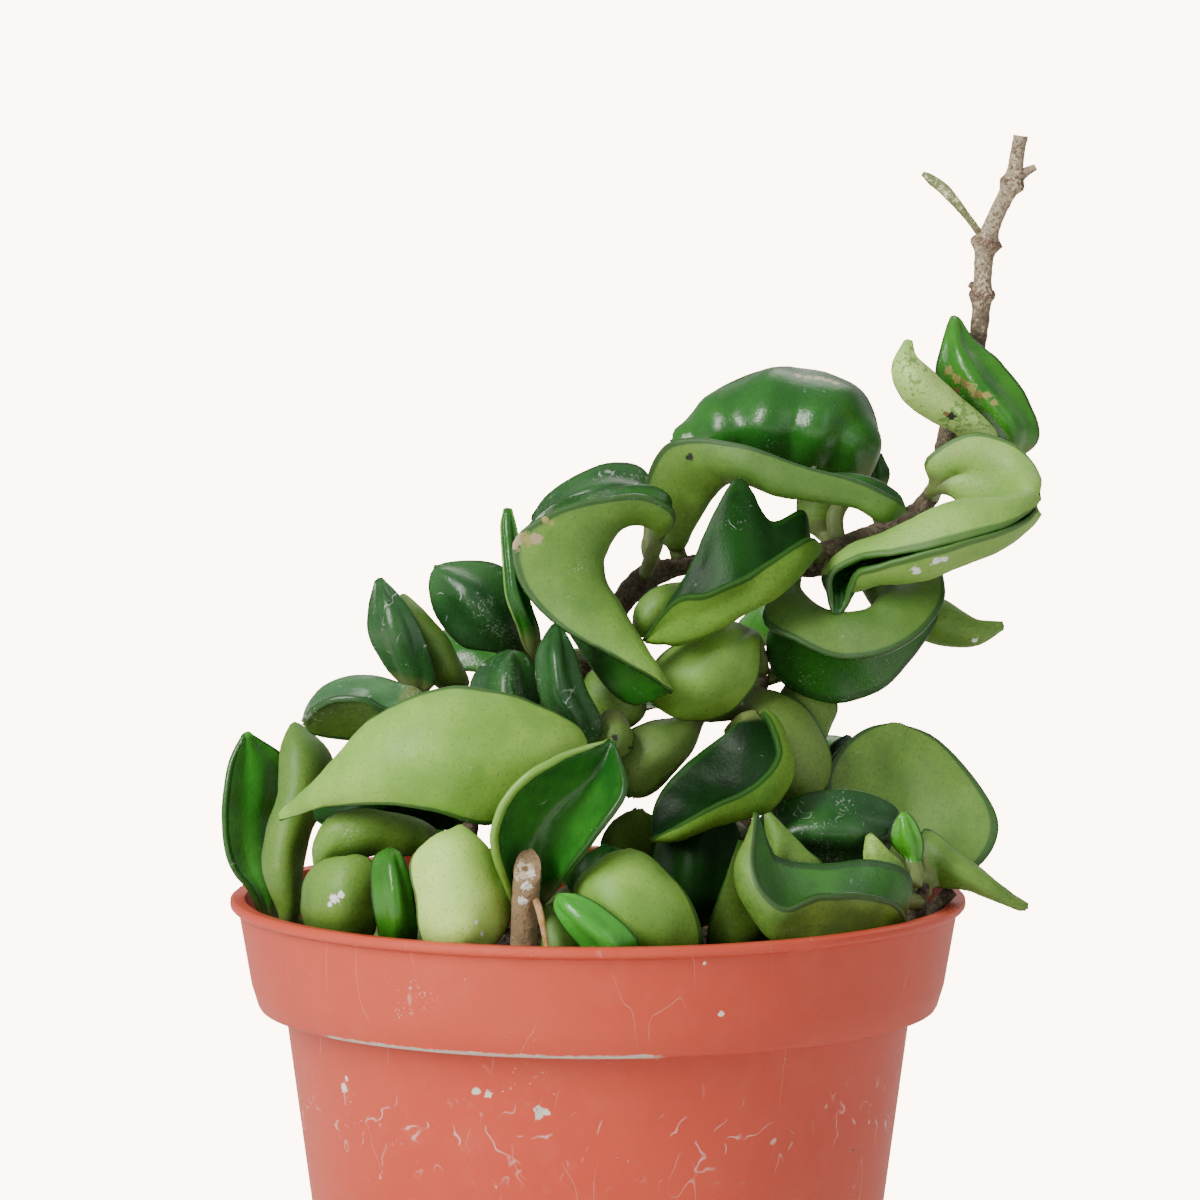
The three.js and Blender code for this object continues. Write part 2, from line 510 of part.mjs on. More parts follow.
      [62.3, 146, -10.6], [60.6, 144.7, -13], [57.6, 143, -16], [52, 141.4, -18], [46, 139.8, -18],
      [40, 138.6, -16], [36.8, 138, -14], [33.4, 136, -12.4], [32.9, 132.9, -12],
    ],
    oneMid: [
      [62.7, 146.6, -9.4], [61.3, 147.3, -10], [58, 146.4, -12.5], [52, 146.2, -13.5], [46, 143.9, -13.5],
      [40, 141, -12], [36, 139.4, -10.6], [32.7, 136, -10.4], [33.3, 132.8, -11.2],
    ],
    rib: [
      [62.2, 145.6, -7.4], [60.4, 144.6, -5.6], [57.6, 143, -6.5], [52, 141.3, -7.5], [46, 139.7, -7.5],
      [40, 138.2, -7], [36.6, 136.8, -7.2], [34.3, 134.9, -8.6], [34.1, 132.4, -10.8],
    ],
    twoMid: [
      [62.7, 144.8, -9.2], [60.8, 142.7, -9.6], [57.6, 140.3, -12], [52, 137.8, -13.5], [46, 135.6, -13.5],
      [40, 135, -12], [37.4, 134.2, -10.8], [35.9, 133.8, -10.4], [34.9, 132, -11.2],
    ],
    two: [
      [62.3, 145, -10.6], [60.6, 143.4, -13], [57.6, 142, -16], [52, 140.3, -18], [46, 138.7, -18],
      [40, 137.2, -16], [37, 136.3, -14.2], [35.9, 133.8, -12.6], [35.3, 131.7, -12],
    ],
    tip: [33.9, 130.2, -12.6],
  },
  leaf_top_pale: {
    shows: "pale", stem: "main_vine", at: 13.4, stalk: [[54, 153.6, 5]],
    one: [[51, 156.3, 4], [46.8, 158.4, 2], [43.4, 161, 1], [41.9, 165, 1]],
    rib: [[54, 156.8, 2], [49.5, 160, 0], [45.5, 163, -1], [43.6, 166.4, 0]],
    two: [[56.4, 156, 4], [51.6, 160.7, 2], [47.6, 164.3, 1], [45, 166.8, 1]],
    tip: [44, 169.2, 2],
  },
  leaf_top_dark: {
    shows: "dark", stem: "main_vine", at: 14.5, stalk: [[54.4, 154.4, 11.5], [57.6, 153, 9.5]],
    one: [[54.6, 157, 8], [50.2, 161, 7], [48.1, 164.3, 7], [48.9, 168.5, 8]],
    rib: [[59, 156, 4], [56, 160.5, 3], [53, 164.5, 4], [51, 168.5, 6]],
    two: [[62.3, 155.3, 8], [60.7, 161, 8], [56.8, 166, 9], [53, 169.3, 10]],
    tip: [50.5, 172.5, 11],
  },
  leaf_ring: {
    shows: "pale", stem: "main_vine", at: 9.6, most: 18, cup: [0.1, 0.08], stalk: [[28, 136, -4]],
    one: [
      [23.6, 129.8, -12], [28, 126.6, -15], [34, 124.1, -16], [40.5, 124.6, -16], [45.6, 127.4, -14],
      [49, 132, -9], [48.8, 136, -4],
    ],
    rib: [
      [28.4, 133, -8], [31.3, 130.6, -10], [35, 129.7, -11], [38.7, 130.2, -10.5], [40.8, 132.2, -9],
      [42, 134.6, -4], [43.6, 137.2, -1],
    ],
    two: [
      [24.2, 126.4, -2.4], [26.4, 120.6, -3], [33, 117.8, -4], [39.8, 119.4, -4], [44.4, 123.8, -4],
      [48, 129.5, -1], [47.6, 134.6, 2],
    ],
    tip: [46.8, 139.2, 2],
  },
  leaf_right_point: {
    shows: "pale", stem: "main_vine", at: 11.2, stalk: [[37.8, 137.2, 5.6]],
    one: [[40, 135.6, 5], [46, 133.4, 4], [50, 131.7, 3], [54, 129.2, 2]],
    rib: [[39.6, 133.4, 4], [45, 130.6, 2], [49.6, 128.8, 1], [54, 127.8, 1]],
    two: [[39.6, 131.2, 6], [44, 128, 5], [48.5, 126, 4], [53.2, 126, 3]],
    tip: [57.7, 128.6, 2],
  },
  leaf_hanging_pale: {
    shows: "pale", stem: "middle_vine", at: 3.95, stalk: [[27.6, 121.6, 0]],
    one: [[32, 119.8, 0], [33.9, 117.2, 0], [32.8, 114, 1]],
    rib: [[28.8, 118.8, -2], [29.6, 116, -2], [30, 113, -1]],
    two: [[25.4, 117, 0], [25.8, 113.6, 0], [27.2, 111.4, 1]],
    tip: [30.4, 109.6, 2],
  },
  leaf_hanging_olive: {
    shows: "pale", stem: "middle_vine", at: 3.7, stalk: [[21.6, 118.4, -4.6]],
    one: [[25.2, 119, -5], [29.6, 116.6, -5], [32.3, 112, -5], [32.8, 107.4, -6]],
    rib: [[22.8, 115, -8], [26, 112, -10], [28, 108, -10.5], [29, 105, -10]],
    two: [[22.8, 113, -5], [22.6, 108.4, -5.5], [23.2, 104.2, -6], [25, 101.6, -7]],
    tip: [30.6, 102.4, -7.5],
  },
  leaf_centre_cup: {
    rows: 16, shows: "pale", stem: "middle_vine", at: 2.9, most: 16, cup: [0.12, 0.08],
    across: [-1, 0, 0.2],
    stalk: [[19.2, 113.4, -5], [21.6, 115.4, -11.5]],
    one: [
      [23.8, 115.6, -18], [25.7, 110.3, -22], [22.4, 105.7, -24], [16.5, 102.7, -23.5],
      [11, 99.6, -22],
    ],
    rib: [[24.8, 114.8, -16], [26.9, 108.5, -19], [24, 102.8, -21], [17, 100.4, -21.5], [10.6, 98, -20.5]],
    two: [[19.8, 114.3, -12], [16, 111.2, -12], [12.5, 108.4, -13.5], [9.4, 105, -15], [7.9, 101.4, -16.5]],
    tip: [7.8, 97.8, -19],
  },
  leaf_drooping: {
    shows: "pale", stem: "middle_vine", at: 3.3, stalk: [[16.4, 116, -2], [14.4, 115.6, -6]],
    one: [[11.6, 115.3, -9], [7.2, 114.5, -11], [3.6, 112.6, -12], [2.4, 108, -12]],
    rib: [[12.4, 112.8, -11], [9, 110.6, -14], [6, 108.8, -14.5], [4.4, 106, -13.5]],
    two: [[13, 110.6, -9], [10.6, 107.8, -10.5], [8.2, 105.4, -11], [6.4, 104.4, -11.5]],
    tip: [4.6, 104.1, -12],
  },
  leaf_drooping_small: {
    shows: "pale", stem: "front_vine", at: 3.95, stalk: [[2.2, 115.6, -14]],
    one: [[0.2, 114.6, -16], [-0.4, 112, -16.5]],
    rib: [[2.4, 113.8, -17.6], [2.2, 111.4, -18]],
    two: [[4.6, 113, -16], [4.4, 110.8, -16.4]],
    tip: [2.4, 109.3, -17.5],
  },
  leaf_behind_low: {
    shows: "pale", stem: "front_vine", at: 1.9, stalk: [[1.8, 91.4, -13]],
    one: [[1.2, 94, -11.4], [0.8, 97.6, -11.6], [2.6, 100.4, -11.4]],
    rib: [[5.4, 93.4, -13], [5.6, 97.6, -13.6], [5.7, 100.6, -13.2]],
    two: [[10.4, 93.4, -11], [10.6, 97.2, -11.4], [8.6, 100.2, -11.8]],
    tip: [5.8, 102.3, -12.6],
  },
  leaf_right_disc: {
    shows: "pale", stem: "right_vine", at: 1.6, cup: [0.02, 0.02], stalk: [[44.4, 90.6, -8]],
    one: [[36.4, 97.6, -5], [32.4, 104.4, -4], [33.6, 109.6, -2], [37.6, 113.4, 0]],
    rib: [[44.4, 97, -3], [43.2, 103, 0], [42.6, 107.6, 1.5], [42.2, 111.6, 1.5]],
    two: [[54, 94, -5], [57, 99.6, -3], [54.4, 105.6, -1], [48.4, 112.2, 1]],
    tip: [42.4, 114.7, 1],
  },
  leaf_right_dark_back: {
    rows: 7, shows: "dark", stem: "middle_vine", at: 0.8, stalk: [[25, 88.6, -1], [31, 92.8, -1]],
    one: [[30.8, 98.6, 2], [31.4, 104, 4], [32.8, 110.4, 6]],
    rib: [[33.4, 97.4, 0], [34, 103.4, 2.4], [34.6, 109.6, 4.6]],
    two: [[36.4, 98.2, 2], [37.2, 103.4, 4.4], [37, 108.6, 7]],
    tip: [35.8, 112.6, 8],
  },
  leaf_right_dark_long: {
    shows: "dark", stem: "middle_vine", at: 1.8, stalk: [[21.4, 98.4, -9]],
    one: [[26, 102.9, -15], [32, 104.7, -15.5], [38, 104.5, -15], [42.3, 102.4, -14]],
    rib: [[26, 98.6, -18.5], [31, 99, -20.5], [36.6, 99, -20], [41, 99, -17.5]],
    two: [[27, 94.6, -16], [31, 93.6, -16.5], [36, 93.6, -16.5], [40, 95, -15]],
    tip: [42.9, 99.6, -14],
  },
  leaf_right_fold: {
    shows: "pale", stem: "right_vine", at: 0.9, rows: 16, cup: [0.12, 0.08], across: [-0.5, 0.5, 0.5],
    stalk: [[44.3, 81.4, -17.5], [43.6, 82.6, -21.5]],
    one: [[43.3, 87.8, -27.9], [38, 89.9, -34], [31.5, 89.7, -38], [26, 88.2, -40], [22.4, 93.4, -38]],
    rib: [[41.2, 84.2, -25.4], [37.4, 83.2, -31], [31, 82.6, -35], [24.6, 84.6, -37], [20.4, 93, -35]],
    two: [[44.6, 92.2, -23], [39.5, 94.8, -26], [32, 94.2, -28], [26, 95, -29.5], [24.4, 96.8, -30.2]],
    tip: [22.7, 101.7, -31],
  },
  leaf_right_triangle: {
    shows: "pale", stem: "middle_vine", at: 1.4, stalk: [[25, 88, -18]],
    one: [[25, 92, -23.5], [24.6, 96, -25], [24.2, 99.4, -25]],
    rib: [[28.4, 92, -25.5], [26.6, 96, -26.5], [25, 99.4, -26]],
    two: [[32, 93.4, -23.5], [29.6, 96.2, -25], [26.6, 99.4, -25]],
    tip: [24.2, 101.7, -25.5],
  },
  leaf_right_tip: {
    shows: "pale", stem: "right_vine", at: 2.6, stalk: [[47, 91.6, -12]],
    one: [[46.6, 99.2, -9], [52, 95.2, -10], [56, 92.2, -9.4], [59.2, 89.8, -8.6]],
    rib: [[48.4, 94.4, -11.5], [52.2, 93, -13], [55.6, 91.2, -12.6], [58.9, 89.2, -11]],
    two: [[49, 91.2, -9], [52.4, 91, -9], [55.4, 90.1, -8.8], [58.5, 88.7, -8]],
    tip: [61.3, 88.1, -9],
  },
  leaf_young_left: {
    shows: "pale", stem: "right_vine", at: 2.2, thick: 0.7, stalk: [[43.2, 89.4, -20.6]],
    one: [[43.4, 94.1, -21], [41.4, 96.2, -21.4], [40, 97.6, -21.6]],
    rib: [[42.8, 93.3, -22], [40.4, 94.8, -22.8], [39.2, 96.6, -22.4]],
    two: [[42, 92.5, -21], [39.4, 92.9, -21.4], [38.2, 95, -21.6]],
    tip: [38.7, 98.5, -20.6],
  },
  leaf_young_right: {
    shows: "dark", joins: "leaf_young_left", thick: 0.7, stalk: [[45, 91.4, -20.6], [45.2, 93, -19.6]],
    one: [[43.8, 95.4, -17.6], [42, 97.6, -18], [42.2, 100, -18]],
    rib: [[45, 95, -18.6], [44.4, 97.6, -19.2], [43.8, 100, -19]],
    two: [[46, 94.8, -17.6], [46.3, 97.5, -18], [45.2, 100.4, -18]],
    tip: [43.6, 101.8, -18.2],
  },
  leaf_shaded_left: {
    shows: "dark", stem: "front_vine", at: 1.95, stalk: [[1.8, 90.6, -23]],
    one: [[-4, 91, -27], [-3.6, 94.6, -27]],
    rib: [[1, 92, -28], [0.6, 95, -27.5]],
    two: [[6.6, 92, -27], [5.6, 95.4, -27]],
    tip: [1.4, 97, -26],
  },
  leaf_shaded_middle: {
    rows: 7, shows: "dark", stem: "middle_vine", at: 1.2, stalk: [[14, 86, -14]],
    one: [[8.8, 88, -16.6], [8, 93, -16.4], [8.6, 98, -14.6], [11.4, 102, -12.6]],
    rib: [[13.6, 88, -18.6], [13.8, 93.2, -18.4], [14.2, 98.4, -16.6], [14.8, 102.4, -14]],
    two: [[19.4, 88, -16.6], [20.4, 93, -16], [20.2, 98, -14], [18.4, 102, -12.4]],
    tip: [15, 105, -12.4],
  },
  leaf_shaded_right: {
    shows: "pale", stem: "middle_vine", at: 0.8, stalk: [[20.4, 80, -20]],
    one: [[15.8, 83, -30], [17.2, 89, -31.5], [19, 94, -30.5]],
    rib: [[20, 82.6, -31.5], [19.6, 89, -31.5], [19.8, 94.4, -30.5]],
    two: [[24.6, 85, -28.5], [22.6, 90.4, -28.5], [21.6, 95.2, -28]],
    tip: [20.6, 97.6, -29],
  },
};

for (const [name, points] of Object.entries(STEM_TABLE)) {
  STEMS[name] = {
    points: points.map(seen),
    radii: points.map((p) => new THREE.Vector3(p[3], 0, 0)),
  };
}

// A tube of changing radius along a centre line, closed at both ends.
function stemGeometry({ points, radii }, step = 4.4) {
  const spans = points.length - 1;
  const centres = [];
  const sizes = [];
  for (let k = 0; k < spans; k += 1) {
    const cuts = Math.max(1, Math.round(points[k].distanceTo(points[k + 1]) / step));
    for (let i = 0; i < cuts; i += 1) {
      centres.push(along(points, k + i / cuts));
      sizes.push(along(radii, k + i / cuts).x);
    }
  }
  centres.push(points[spans]);
  sizes.push(radii[spans].x);
  const last = centres.length - 1;
  const rings = [];
  let side = new THREE.Vector3(1, 0, 0);
  centres.forEach((c, i) => {
    const forward = centres[Math.min(i + 1, last)].clone().sub(centres[Math.max(i - 1, 0)]).normalize();
    side = side.clone().addScaledVector(forward, -side.dot(forward)).normalize();
    const up = forward.clone().cross(side);
    rings.push(Array.from({ length: STEM_SIDES }, (_, k) => {
      const a = (2 * Math.PI * k) / STEM_SIDES;
      const outwards = side.clone().multiplyScalar(Math.cos(a)).addScaledVector(up, Math.sin(a));
      return c.clone().addScaledVector(outwards, sizes[i]);
    }));
  });
  const faces = [];
  for (let i = 0; i < last; i += 1) {
    for (let k = 0; k < STEM_SIDES; k += 1) {
      const n = (k + 1) % STEM_SIDES;
      faces.push([rings[i][k], rings[i][n], rings[i + 1][n]]);
      faces.push([rings[i][k], rings[i + 1][n], rings[i + 1][k]]);
    }
  }
  for (let k = 1; k < STEM_SIDES - 1; k += 1) {
    faces.push([rings[0][0], rings[0][k + 1], rings[0][k]]);
    faces.push([rings[last][0], rings[last][k], rings[last][k + 1]]);
  }
  return solidGeometry(faces);
}

const GREEN = { colour: "#3f7a2a", roughness: 0.35 };
const BARK = { colour: "#8d7a5c", roughness: 0.85 };
const SOIL = { colour: "#3a2a20", roughness: 0.95 };
const PLASTIC = { colour: "#cd6955", roughness: 0.5 };

const plant = new THREE.Group();

function addPiece(name, geometry, look) {
  const { colour: color, roughness } = look;
  const material = new THREE.MeshStandardMaterial({ color, roughness, metalness: 0 });
  const mesh = new THREE.Mesh(geometry, material);
  mesh.name = name;
  plant.add(mesh);
}

function solidOf(geometry) {
  const clean = new THREE.BufferGeometry();
  clean.setAttribute("position", geometry.getAttribute("position"));
  clean.setIndex(geometry.index);
  const merged = mergeVertices(clean, 1e-4);
  return new wasm.Manifold(new wasm.Mesh({
    numProp: 3,
    vertProperties: merged.attributes.position.array,
    triVerts: new Uint32Array(merged.index.array),
  }));
}

function geometryOf(solid) {
  const mesh = solid.getMesh();
  const geometry = new THREE.BufferGeometry();
  geometry.setAttribute("position", new THREE.BufferAttribute(new Float32Array(mesh.vertProperties), 3));
  geometry.setIndex(new THREE.BufferAttribute(new Uint32Array(mesh.triVerts), 1));
  return geometry;
}

// Closed geometries joined into one, without scraps and without sealed hollows.
function joined(geometries) {
  const solids = geometries.map(solidOf);
  const whole = solids.slice(1).reduce((sum, solid) => sum.add(solid), solids[0]);
  const bodies = whole.decompose();
  const outside = bodies.filter((b) => b.volume() > 0).sort((a, b) => b.volume() - a.volume());
  return geometryOf(outside[0]);
}

// Twigs and scraps that are part of a stem: points of the centre line with the radius as a fourth number.
const GROWN_ON = {
  main_vine: [
    [[54.8, 183.2, 14, 0.9], [52, 187, 13.4, 0.65], [48, 191.6, 13, 0.6], [45.9, 192.9, 13, 0.35]],
    [[58.8, 191.6, 14, 0.9], [60.4, 193, 14, 0.7], [61.9, 193.8, 14, 0.45]],
    [[54.6, 176, 14, 0.7], [52.6, 177.3, 14, 0.5]],
  ],
  right_vine: [
    [[43, 82, -12, 1.2], [46.6, 86, -9, 1.1], [48.6, 88.6, -8.4, 1.05], [50.6, 90.6, -8, 1.0]],
  ],
};

const STUMP = [
  [[-10.6, 63, -37, 1.9], [-10.7, 78, -40.5, 1.9], [-10, 93.8, -45, 1.8]],
  [[-9, 89.4, -45, 0.5], [-8.3, 87.6, -47, 0.5], [-7.3, 82.5, -47, 0.4]],
];

function twigGeometry(table) {
  return stemGeometry({ points: table.map(seen), radii: table.map((p) => new THREE.Vector3(p[3], 0, 0)) });
}

// The sprays at the back: a stem as [x, y, z, radius], and leaves as [place along the stem, azimuth and
// lift in degrees, length, half width, how far it curls down in degrees].
const BACK_SPRAYS = {
  back_spray_left: {
    stem: [[-17, 27, 70, 1.6], [-19, 29, 88, 1.5], [-18, 28, 104, 1.4], [-12, 25, 118, 1.2]],
    leaves: [
      [1.15, 150, 55, 20, 6.2, 75], [1.45, 82, 58, 22, 6.8, 85], [1.85, 168, 50, 20, 6.2, 95],
      [2.1, 112, 40, 24, 7.2, 110], [2.55, 45, 45, 22, 6.4, 115], [2.95, 128, 60, 20, 6.2, 100],
    ],
  },
  back_spray_right: {
    stem: [[18, 28, 70, 1.6], [20, 30, 88, 1.5], [22, 29, 106, 1.4], [20, 25, 122, 1.2]],
    leaves: [
      [1.15, 28, 55, 20, 6.2, 75], [1.45, 100, 58, 22, 6.8, 85], [1.85, 12, 50, 19, 6, 95],
      [2.1, 66, 38, 24, 7.2, 110], [2.45, 140, 45, 21, 6.4, 110], [2.95, 58, 60, 20, 6.2, 100],
    ],
  },
};

function backLeaf(base, [, azimuth, lift, length, halfWidth, curl]) {
  const a = THREE.MathUtils.degToRad(azimuth);
  const out = new THREE.Vector3(Math.cos(a), Math.sin(a), 0);
  const side = new THREE.Vector3(-Math.sin(a), Math.cos(a), 0);
  const spine = [base.clone()];
  const normals = [];
  const steps = 12;
  for (let i = 0; i < steps; i += 1) {
    const angle = THREE.MathUtils.degToRad(lift - (curl * i) / steps);
    const forward = out.clone().multiplyScalar(Math.cos(angle)).setZ(Math.sin(angle));
    normals.push(side.clone().cross(forward).negate());
    spine.push(spine[i].clone().addScaledVector(forward, length / steps));
  }
  const spec = { sign: 1, one: [], rib: [], two: [], cup: [-0.12, -0.12], stalk: [base, spine[1].clone()] };
  for (const [i, width] of [[3, 0.7], [5, 1], [7, 1], [9, 0.78], [11, 0.36]]) {
    spec.rib.push(spine[i]);
    for (const [edge, way] of [["one", 1], ["two", -1]]) {
      const p = spine[i].clone().addScaledVector(side, way * halfWidth * width * 0.86);
      spec[edge].push(p.addScaledVector(normals[i], -halfWidth * width * 0.55));
    }
  }
  spec.tip = spine[steps];
  return leafGeometry(spec);
}

// The pot: a plain tapered nursery pot with a stepped band, a thin rolled lip and drainage holes.
function potGeometry() {
  const profile = [
    [0, 0], [BASE_RADIUS - 1, 0], [BASE_RADIUS, 0.9], [BODY_TOP_RADIUS, BAND_BOTTOM_Z - 0.9],
    [BODY_TOP_RADIUS + 0.5, BAND_BOTTOM_Z - 0.3], [BODY_TOP_RADIUS + 3.3, BAND_BOTTOM_Z - 0.1],
    [BODY_TOP_RADIUS + 4, BAND_BOTTOM_Z + 0.6], [BAND_RADIUS - 1.8, BAND_STEP_Z - 0.3],
    [BAND_RADIUS - 1.7, BAND_STEP_Z + 0.3], [BAND_RADIUS, POT_HEIGHT - 1.7],
    [RIM_RADIUS - 0.2, POT_HEIGHT - 1.4], [RIM_RADIUS, POT_HEIGHT - 1.1],
    [RIM_RADIUS, POT_HEIGHT - 0.3], [RIM_RADIUS - 0.35, POT_HEIGHT],
    [RIM_RADIUS - 1.9, POT_HEIGHT], [BAND_RADIUS - WALL, POT_HEIGHT - 0.6],
    [BAND_RADIUS - 1.7 - WALL, BAND_STEP_Z], [BODY_TOP_RADIUS + 3.8 - WALL, BAND_BOTTOM_Z + WALL],
    [BODY_TOP_RADIUS - WALL, BAND_BOTTOM_Z + 0.4], [BASE_RADIUS + 0.2 - WALL, FLOOR], [0, FLOOR],
  ];
  const points = profile.map(([r, z]) => new THREE.Vector2(r, z));
  return new THREE.LatheGeometry(points, POT_SEGMENTS).rotateX(Math.PI / 2);
}

function soilGeometry() {
  const gap = WALL + SOIL_GAP;
  const top = SOIL_LEVEL - SOIL_BUMP;
  const share = (z) => (z - FLOOR) / (BAND_BOTTOM_Z - FLOOR);
  const inner = (z) => THREE.MathUtils.lerp(BASE_RADIUS, BODY_TOP_RADIUS, share(z)) - gap - 0.2;
  const points = [new THREE.Vector2(0, FLOOR + SOIL_GAP)];
  points.push(new THREE.Vector2(inner(FLOOR), FLOOR + SOIL_GAP));
  points.push(new THREE.Vector2(inner(BAND_BOTTOM_Z), BAND_BOTTOM_Z + 0.8));
  points.push(new THREE.Vector2(BODY_TOP_RADIUS + 3.2 - gap, BAND_BOTTOM_Z + 1.6));
  points.push(new THREE.Vector2(BAND_RADIUS - 2.4 - gap, BAND_STEP_Z));
  for (let k = SOIL_RINGS; k >= 0; k -= 1) {
    points.push(new THREE.Vector2(((BAND_RADIUS - 2.6 - gap) * k) / SOIL_RINGS, top));
  }
  const geometry = new THREE.LatheGeometry(points, SOIL_SEGMENTS).rotateX(Math.PI / 2);
  const position = geometry.getAttribute("position");
  for (let i = 0; i < position.count; i += 1) {
    const [x, y, z] = [position.getX(i), position.getY(i), position.getZ(i)];
    if (z < top - 0.01) continue;
    const bump = 0.5 * Math.sin(x * 0.34 + 1.3) * Math.cos(y * 0.41) + 0.5 * Math.sin(x * 0.83 - y * 0.67);
    position.setZ(i, z + SOIL_BUMP * (1 + bump));
  }
  return geometry;
}

// Room in the soil for a stem.
function stemRoom(points, radii) {
  const foot = points[0].clone().addScaledVector(points[1].clone().sub(points[0]).normalize(), -SEAT_GAP);
  const wider = radii.slice(0, 3).map((r) => new THREE.Vector3(r.x + SEAT_GAP + 0.12, 0, 0));
  return solidOf(stemGeometry({ points: [foot, ...points.slice(1, 3)], radii: wider }));
}

const rooms = [];
for (const [name, spec] of Object.entries(LEAF_TABLE)) {
  if (spec.joins) continue;
  const more = Object.values(LEAF_TABLE).filter((other) => other.joins === name);
  const parts = [spec, ...more].map(leafGeometry);
  addPiece(name, more.length ? joined(parts) : parts[0], GREEN);
}
for (const [name, stem] of Object.entries(STEMS)) {
  addPiece(name, joined([stemGeometry(stem), ...(GROWN_ON[name] ?? []).map(twigGeometry)]), BARK);
  rooms.push(stemRoom(stem.points, stem.radii));
}
for (const [name, spray] of Object.entries(BACK_SPRAYS)) {
  const points = spray.stem.map(([x, y, z]) => new THREE.Vector3(x, y, z));
  const radii = spray.stem.map((p) => new THREE.Vector3(p[3], 0, 0));
  const leaves = spray.leaves.map((leaf) => backLeaf(along(points, leaf[0]), leaf));
  addPiece(name, joined([stemGeometry({ points, radii }), ...leaves]), GREEN);
  rooms.push(stemRoom(points, radii));
}
addPiece("stump", joined(STUMP.map(twigGeometry)), BARK);
const stumpRadii = STUMP[0].map((p) => new THREE.Vector3(p[3], 0, 0));
rooms.push(stemRoom(STUMP[0].map(seen), stumpRadii));

const drains = Array.from({ length: DRAIN_COUNT }, (_, k) => {
  const a = (2 * Math.PI * k) / DRAIN_COUNT + 0.3;
  const drill = new THREE.CylinderGeometry(DRAIN_RADIUS, DRAIN_RADIUS, 4 * FLOOR, 14).rotateX(Math.PI / 2);
  return solidOf(drill.translate(DRAIN_CIRCLE * Math.cos(a), DRAIN_CIRCLE * Math.sin(a), 0));
});
const pot = drains.reduce((solid, drain) => solid.subtract(drain), solidOf(potGeometry()));
addPiece("pot", geometryOf(pot), PLASTIC);
const soil = rooms.reduce((solid, room) => solid.subtract(room), solidOf(soilGeometry()));
addPiece("soil", geometryOf(soil), SOIL);

export default plant;
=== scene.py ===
"""A hindu rope plant with thick folded leaves in a plastic nursery pot.

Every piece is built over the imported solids, in the same frame. Tables are in millimetres, meshes in metres.
"""

import logging
import math
from dataclasses import dataclass, field
from enum import Enum
from typing import Optional, Union

import bmesh
import bpy
import numpy as np
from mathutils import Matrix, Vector, noise
from mathutils.bvhtree import BVHTree


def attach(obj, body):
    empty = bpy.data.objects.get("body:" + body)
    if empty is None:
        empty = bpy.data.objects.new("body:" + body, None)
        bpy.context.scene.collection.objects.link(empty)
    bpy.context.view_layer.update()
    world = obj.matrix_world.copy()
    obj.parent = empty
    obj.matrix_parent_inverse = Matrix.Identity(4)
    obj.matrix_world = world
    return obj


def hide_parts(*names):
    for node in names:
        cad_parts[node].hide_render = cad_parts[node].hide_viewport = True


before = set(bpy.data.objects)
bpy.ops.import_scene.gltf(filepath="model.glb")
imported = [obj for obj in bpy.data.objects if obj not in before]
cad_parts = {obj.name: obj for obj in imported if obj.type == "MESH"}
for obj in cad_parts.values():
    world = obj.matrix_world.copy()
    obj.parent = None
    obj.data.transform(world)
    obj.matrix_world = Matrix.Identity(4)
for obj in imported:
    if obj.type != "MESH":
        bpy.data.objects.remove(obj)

log = logging.getLogger("plant")

Point = tuple[float, float, float]
StemPoint = tuple[float, float, float, float]
Colour = tuple[float, float, float]
Array = np.ndarray
BMesh = bmesh.types.BMesh
Material = bpy.types.Material
Mesh = bpy.types.Mesh
NodeTree = bpy.types.NodeTree
Socket = bpy.types.NodeSocket
Sockets = bpy.types.bpy_prop_collection
Ring = list[bmesh.types.BMVert]
Value = Union[Socket, float, bool, str, tuple[float, ...]]

MM = 0.001
EYE = np.array([0.0, -990.146, 230.037])
CAMERA_X_MM = 0.3
CAMERA_PITCH_DEG = 5.64
LENS_MM = 209.8
SENSOR_MM = 36.0

# A leaf's thicknesses and widths, in millimetres.
LEAF_THICKNESS = 2.0
EDGE_THICKNESS = 0.9
LEAST_THICKNESS = 0.66
STALK_THICKNESS = 2.1
STALK_HALF_WIDTH = 1.15
TIP_HALF_WIDTH = 0.45
AMPLE = 99.0
# The share of a fold's room that a leaf may fill, and how many thicknesses its rounded rim reaches.
FOLD_SHARE = 0.5
RIM_REACH = 0.26
RIM_ANGLES = (50, 90, 130)
# The fineness of a leaf's mesh: the step along it, and the places across it from 0 to 4.
ROW_STEP = 0.85
ACROSS = np.concatenate(([0.0, 0.05, 0.14], np.linspace(0.3, 3.7, 13), [3.86, 3.95, 4.0]))
MIDDLE = 2
LAYERS = ("side", "rim", "run", "width", "tone")
WAVE_DEPTH = 0.28
WAVE_SCALE = 0.22
RIPPLE_SCALE = 0.6
RIPPLE_SHARE = 0.3

# The knots of the bare vine: each one's height and how far it swells, then their length and their red scars'.
KNOTS = ((174.9, 0.6), (182.3, 1.0), (190.9, 0.65))
KNOT_LENGTH = 0.8
SCAR_LENGTH = 0.6
SCAR_LIFT = 0.3
KNOTTED_RADIUS = 1.0
STEM_STEP = 0.45


class Face(Enum):
    """Which face of a leaf its first half turns to the front."""

    DARK = "dark"
    PALE = "pale"


DARK, PALE = Face.DARK, Face.PALE


